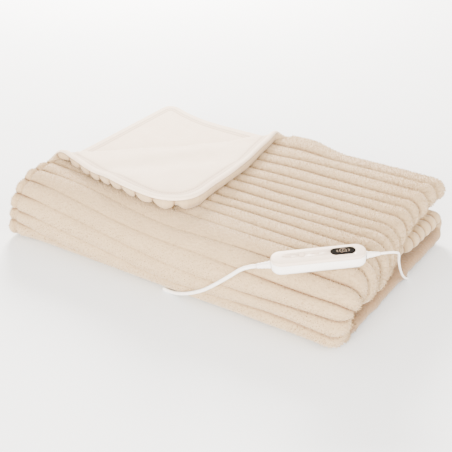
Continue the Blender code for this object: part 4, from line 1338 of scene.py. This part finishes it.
def relief_outline(lead):
    """Radius and height of a tapered sleeve with soft rings, from its root."""
    tip = lead / 2 + TIP_WALL
    points = [(0.0, 0.0), (RELIEF_ROOT - SLEEVE_EDGE, 0.0), (RELIEF_ROOT, ROOT_EDGE)]
    pitch = RELIEF_LENGTH / RELIEF_RINGS
    for ring in range(RELIEF_RINGS):
        radius = mix(RELIEF_ROOT, tip, (ring + 0.5) / RELIEF_RINGS)
        for lower, share in zip((0.0, RING_LIP, RING_CUT, RING_CUT), RING_SHARES):
            points.append((radius - lower, (ring + share) * pitch))
    end = [(tip, RELIEF_LENGTH - SLEEVE_EDGE), (tip - SLEEVE_EDGE, RELIEF_LENGTH), (0.0, RELIEF_LENGTH)]
    return points + end


def add_relief(name, node, side, lead, material):
    bm = bmesh.new()
    verts = [bm.verts.new((radius, 0.0, height)) for radius, height in relief_outline(lead)]
    for near, far in zip(verts, verts[1:]):
        bm.edges.new((near, far))
    bmesh.ops.spin(bm, geom=bm.verts[:] + bm.edges[:], axis=(0, 0, 1), cent=(0, 0, 0),
                   angle=2 * pi, steps=SLEEVE_STEPS)
    bmesh.ops.remove_doubles(bm, verts=bm.verts, dist=MERGE_WITHIN)
    mesh = mesh_from(bm, name)
    mesh.shade_smooth()
    place = Matrix.Translation((side * (CONTROL_SIZE.x / 2 + GAP), 0.0, 0.0))
    mesh.transform(CONTROL_POSE @ place @ Matrix.Rotation(side * pi / 2, 4, "Y"))
    return finish_piece(add_object(name, mesh, material), "white_rubber", node)


# Arcs on the display, in metres from its middle. start, end: degrees.
Arc = namedtuple("Arc", "x y radius start end")
ARCS = (
    Arc(0.0000, 0.0, 0.0034, -55, 250),
    Arc(0.0006, 0.0, 0.0016, 60, 340),
    Arc(-0.0048, 0.0, 0.0016, 90, 270),
    Arc(0.0050, 0.0, 0.0016, -90, 90),
)
MARK_WIDTH = 0.00032
MARK_LEVEL = 0.0003        # over the cover's top
MARK_THICKNESS = 0.0001
MARK_STEP = 12             # degrees


def add_marks(material):
    """Plain arcs on the display."""
    bm = bmesh.new()
    level = CONTROL_SIZE.z / 2 + MARK_LEVEL
    upward = Vector((0.0, 0.0, MARK_THICKNESS))
    for arc in ARCS:
        steps = max(int((arc.end - arc.start) / MARK_STEP), 4)
        rings = []
        for step in range(steps + 1):
            angle = radians(mix(arc.start, arc.end, step / steps))
            way = Vector((cos(angle), sin(angle), 0.0))
            middle = Vector((INLAYS[0].along + arc.x, arc.y, level)) + way * arc.radius
            near, far = middle - way * MARK_WIDTH / 2, middle + way * MARK_WIDTH / 2
            rings.append([bm.verts.new(place) for place in (near, far, far + upward, near + upward)])
        for near, far in zip(rings, rings[1:]):
            for index in range(4):
                onward = (index + 1) % 4
                bm.faces.new((near[index], far[index], far[onward], near[onward]))
        bm.faces.new(rings[0])
        bm.faces.new(reversed(rings[-1]))
    mesh = mesh_from(bm, "display_marks")
    mesh.transform(CONTROL_POSE)
    return finish_piece(add_object("display_marks", mesh, material), "dark_window")


def add_controller(materials):
    base = lofted("controller_shell", CONTROL_SIZE.x, CONTROL_SIZE.y, END_ROUND, base_profile(),
                  materials["shell"])
    cover = lofted("controller_top", CONTROL_SIZE.x, CONTROL_SIZE.y, END_ROUND, cover_profile(),
                   materials["cover"])
    for inlay in INLAYS:
        sink_pocket(cover, inlay)
    for piece, slot_name, node in (
        (base, "gloss_white", "controller_base"),
        (cover, "warm_white", "controller_cover"),
    ):
        piece.data.transform(CONTROL_POSE)
        finish_piece(piece, slot_name, node)
    add_relief("sleeve_to_blanket", "relief_blanket", -1, BLANKET_LEAD, materials["rubber"])
    add_relief("sleeve_to_supply", "relief_supply", 1, SUPPLY_LEAD, materials["rubber"])
    add_marks(materials["mark"])


CARRIED_FINISHES = {
    "display_window": "window", "key_power": "key", "key_less": "key", "key_more": "key",
    "coil_tie": "rubber", "plug_grip": "rubber", "plug_shell": "metal",
}


def finish_carried_nodes(materials):
    """Better finishes for the CAD nodes that stay."""
    for name, finish in CARRIED_FINISHES.items():
        for material_slot in bpy.data.objects[name].material_slots:
            material_slot.material = materials[finish]


# ---------------------------------------------------------------- studio
FLOOR_REACH = 4.0
FLOOR_LOW = (0.84, 0.91, 0.985)
FLOOR_HIGH = (0.86, 0.93, 1.0)
FLOOR_CLOUDS = 3.0


def add_floor():
    mesh = bpy.data.meshes.new("studio_floor")
    corners = [(x * FLOOR_REACH, y * FLOOR_REACH, 0.0) for x, y in ((-1, -1), (1, -1), (1, 1), (-1, 1))]
    mesh.from_pydata(corners, [], [(0, 1, 2, 3)])
    made, tree, shader = shader_tree("pale_floor", 0.9)
    cloudy = add_noise(tree, object_place(tree), FLOOR_CLOUDS)
    shade = add_ramp(tree, cloudy, (0.3, FLOOR_LOW), (0.7, FLOOR_HIGH))
    tree.links.new(shade, shader.inputs["Base Color"])
    add_object("studio_floor", mesh, made)


# Soft boxes. at: place; size: side; power: watts.
Softbox = namedtuple("Softbox", "name at size power")
SOFTBOXES = (
    Softbox("front_light", (0.30, -1.90, 0.62), 0.9, 120.0),
    Softbox("right_light", (1.70, -0.10, 0.80), 1.2, 45.0),
    Softbox("back_light", (-1.25, 1.45, 1.00), 0.7, 230.0),
)
WORLD_STRENGTH = 2.15
WARM = (1.0, 0.90, 0.80)


def add_lights():
    for box in SOFTBOXES:
        light = bpy.data.lights.new(box.name, "AREA")
        light.shape = "SQUARE"
        light.size = box.size
        light.energy = box.power
        light.color = WARM
        placed = bpy.data.objects.new(box.name, light)
        placed.location = box.at
        placed.rotation_euler = (-Vector(box.at)).to_track_quat("-Z", "Y").to_euler()
        bpy.context.scene.collection.objects.link(placed)
    world = bpy.data.worlds.new("studio_world")
    world.use_nodes = True
    sky = world.node_tree.nodes["Background"]
    sky.inputs["Color"].default_value = (*WARM, 1.0)
    sky.inputs["Strength"].default_value = WORLD_STRENGTH
    bpy.context.scene.world = world


add_camera()
MATERIALS = make_materials()
add_leads(MATERIALS)
add_floor()
add_blanket(MATERIALS)
add_controller(MATERIALS)
finish_carried_nodes(MATERIALS)
add_lights()
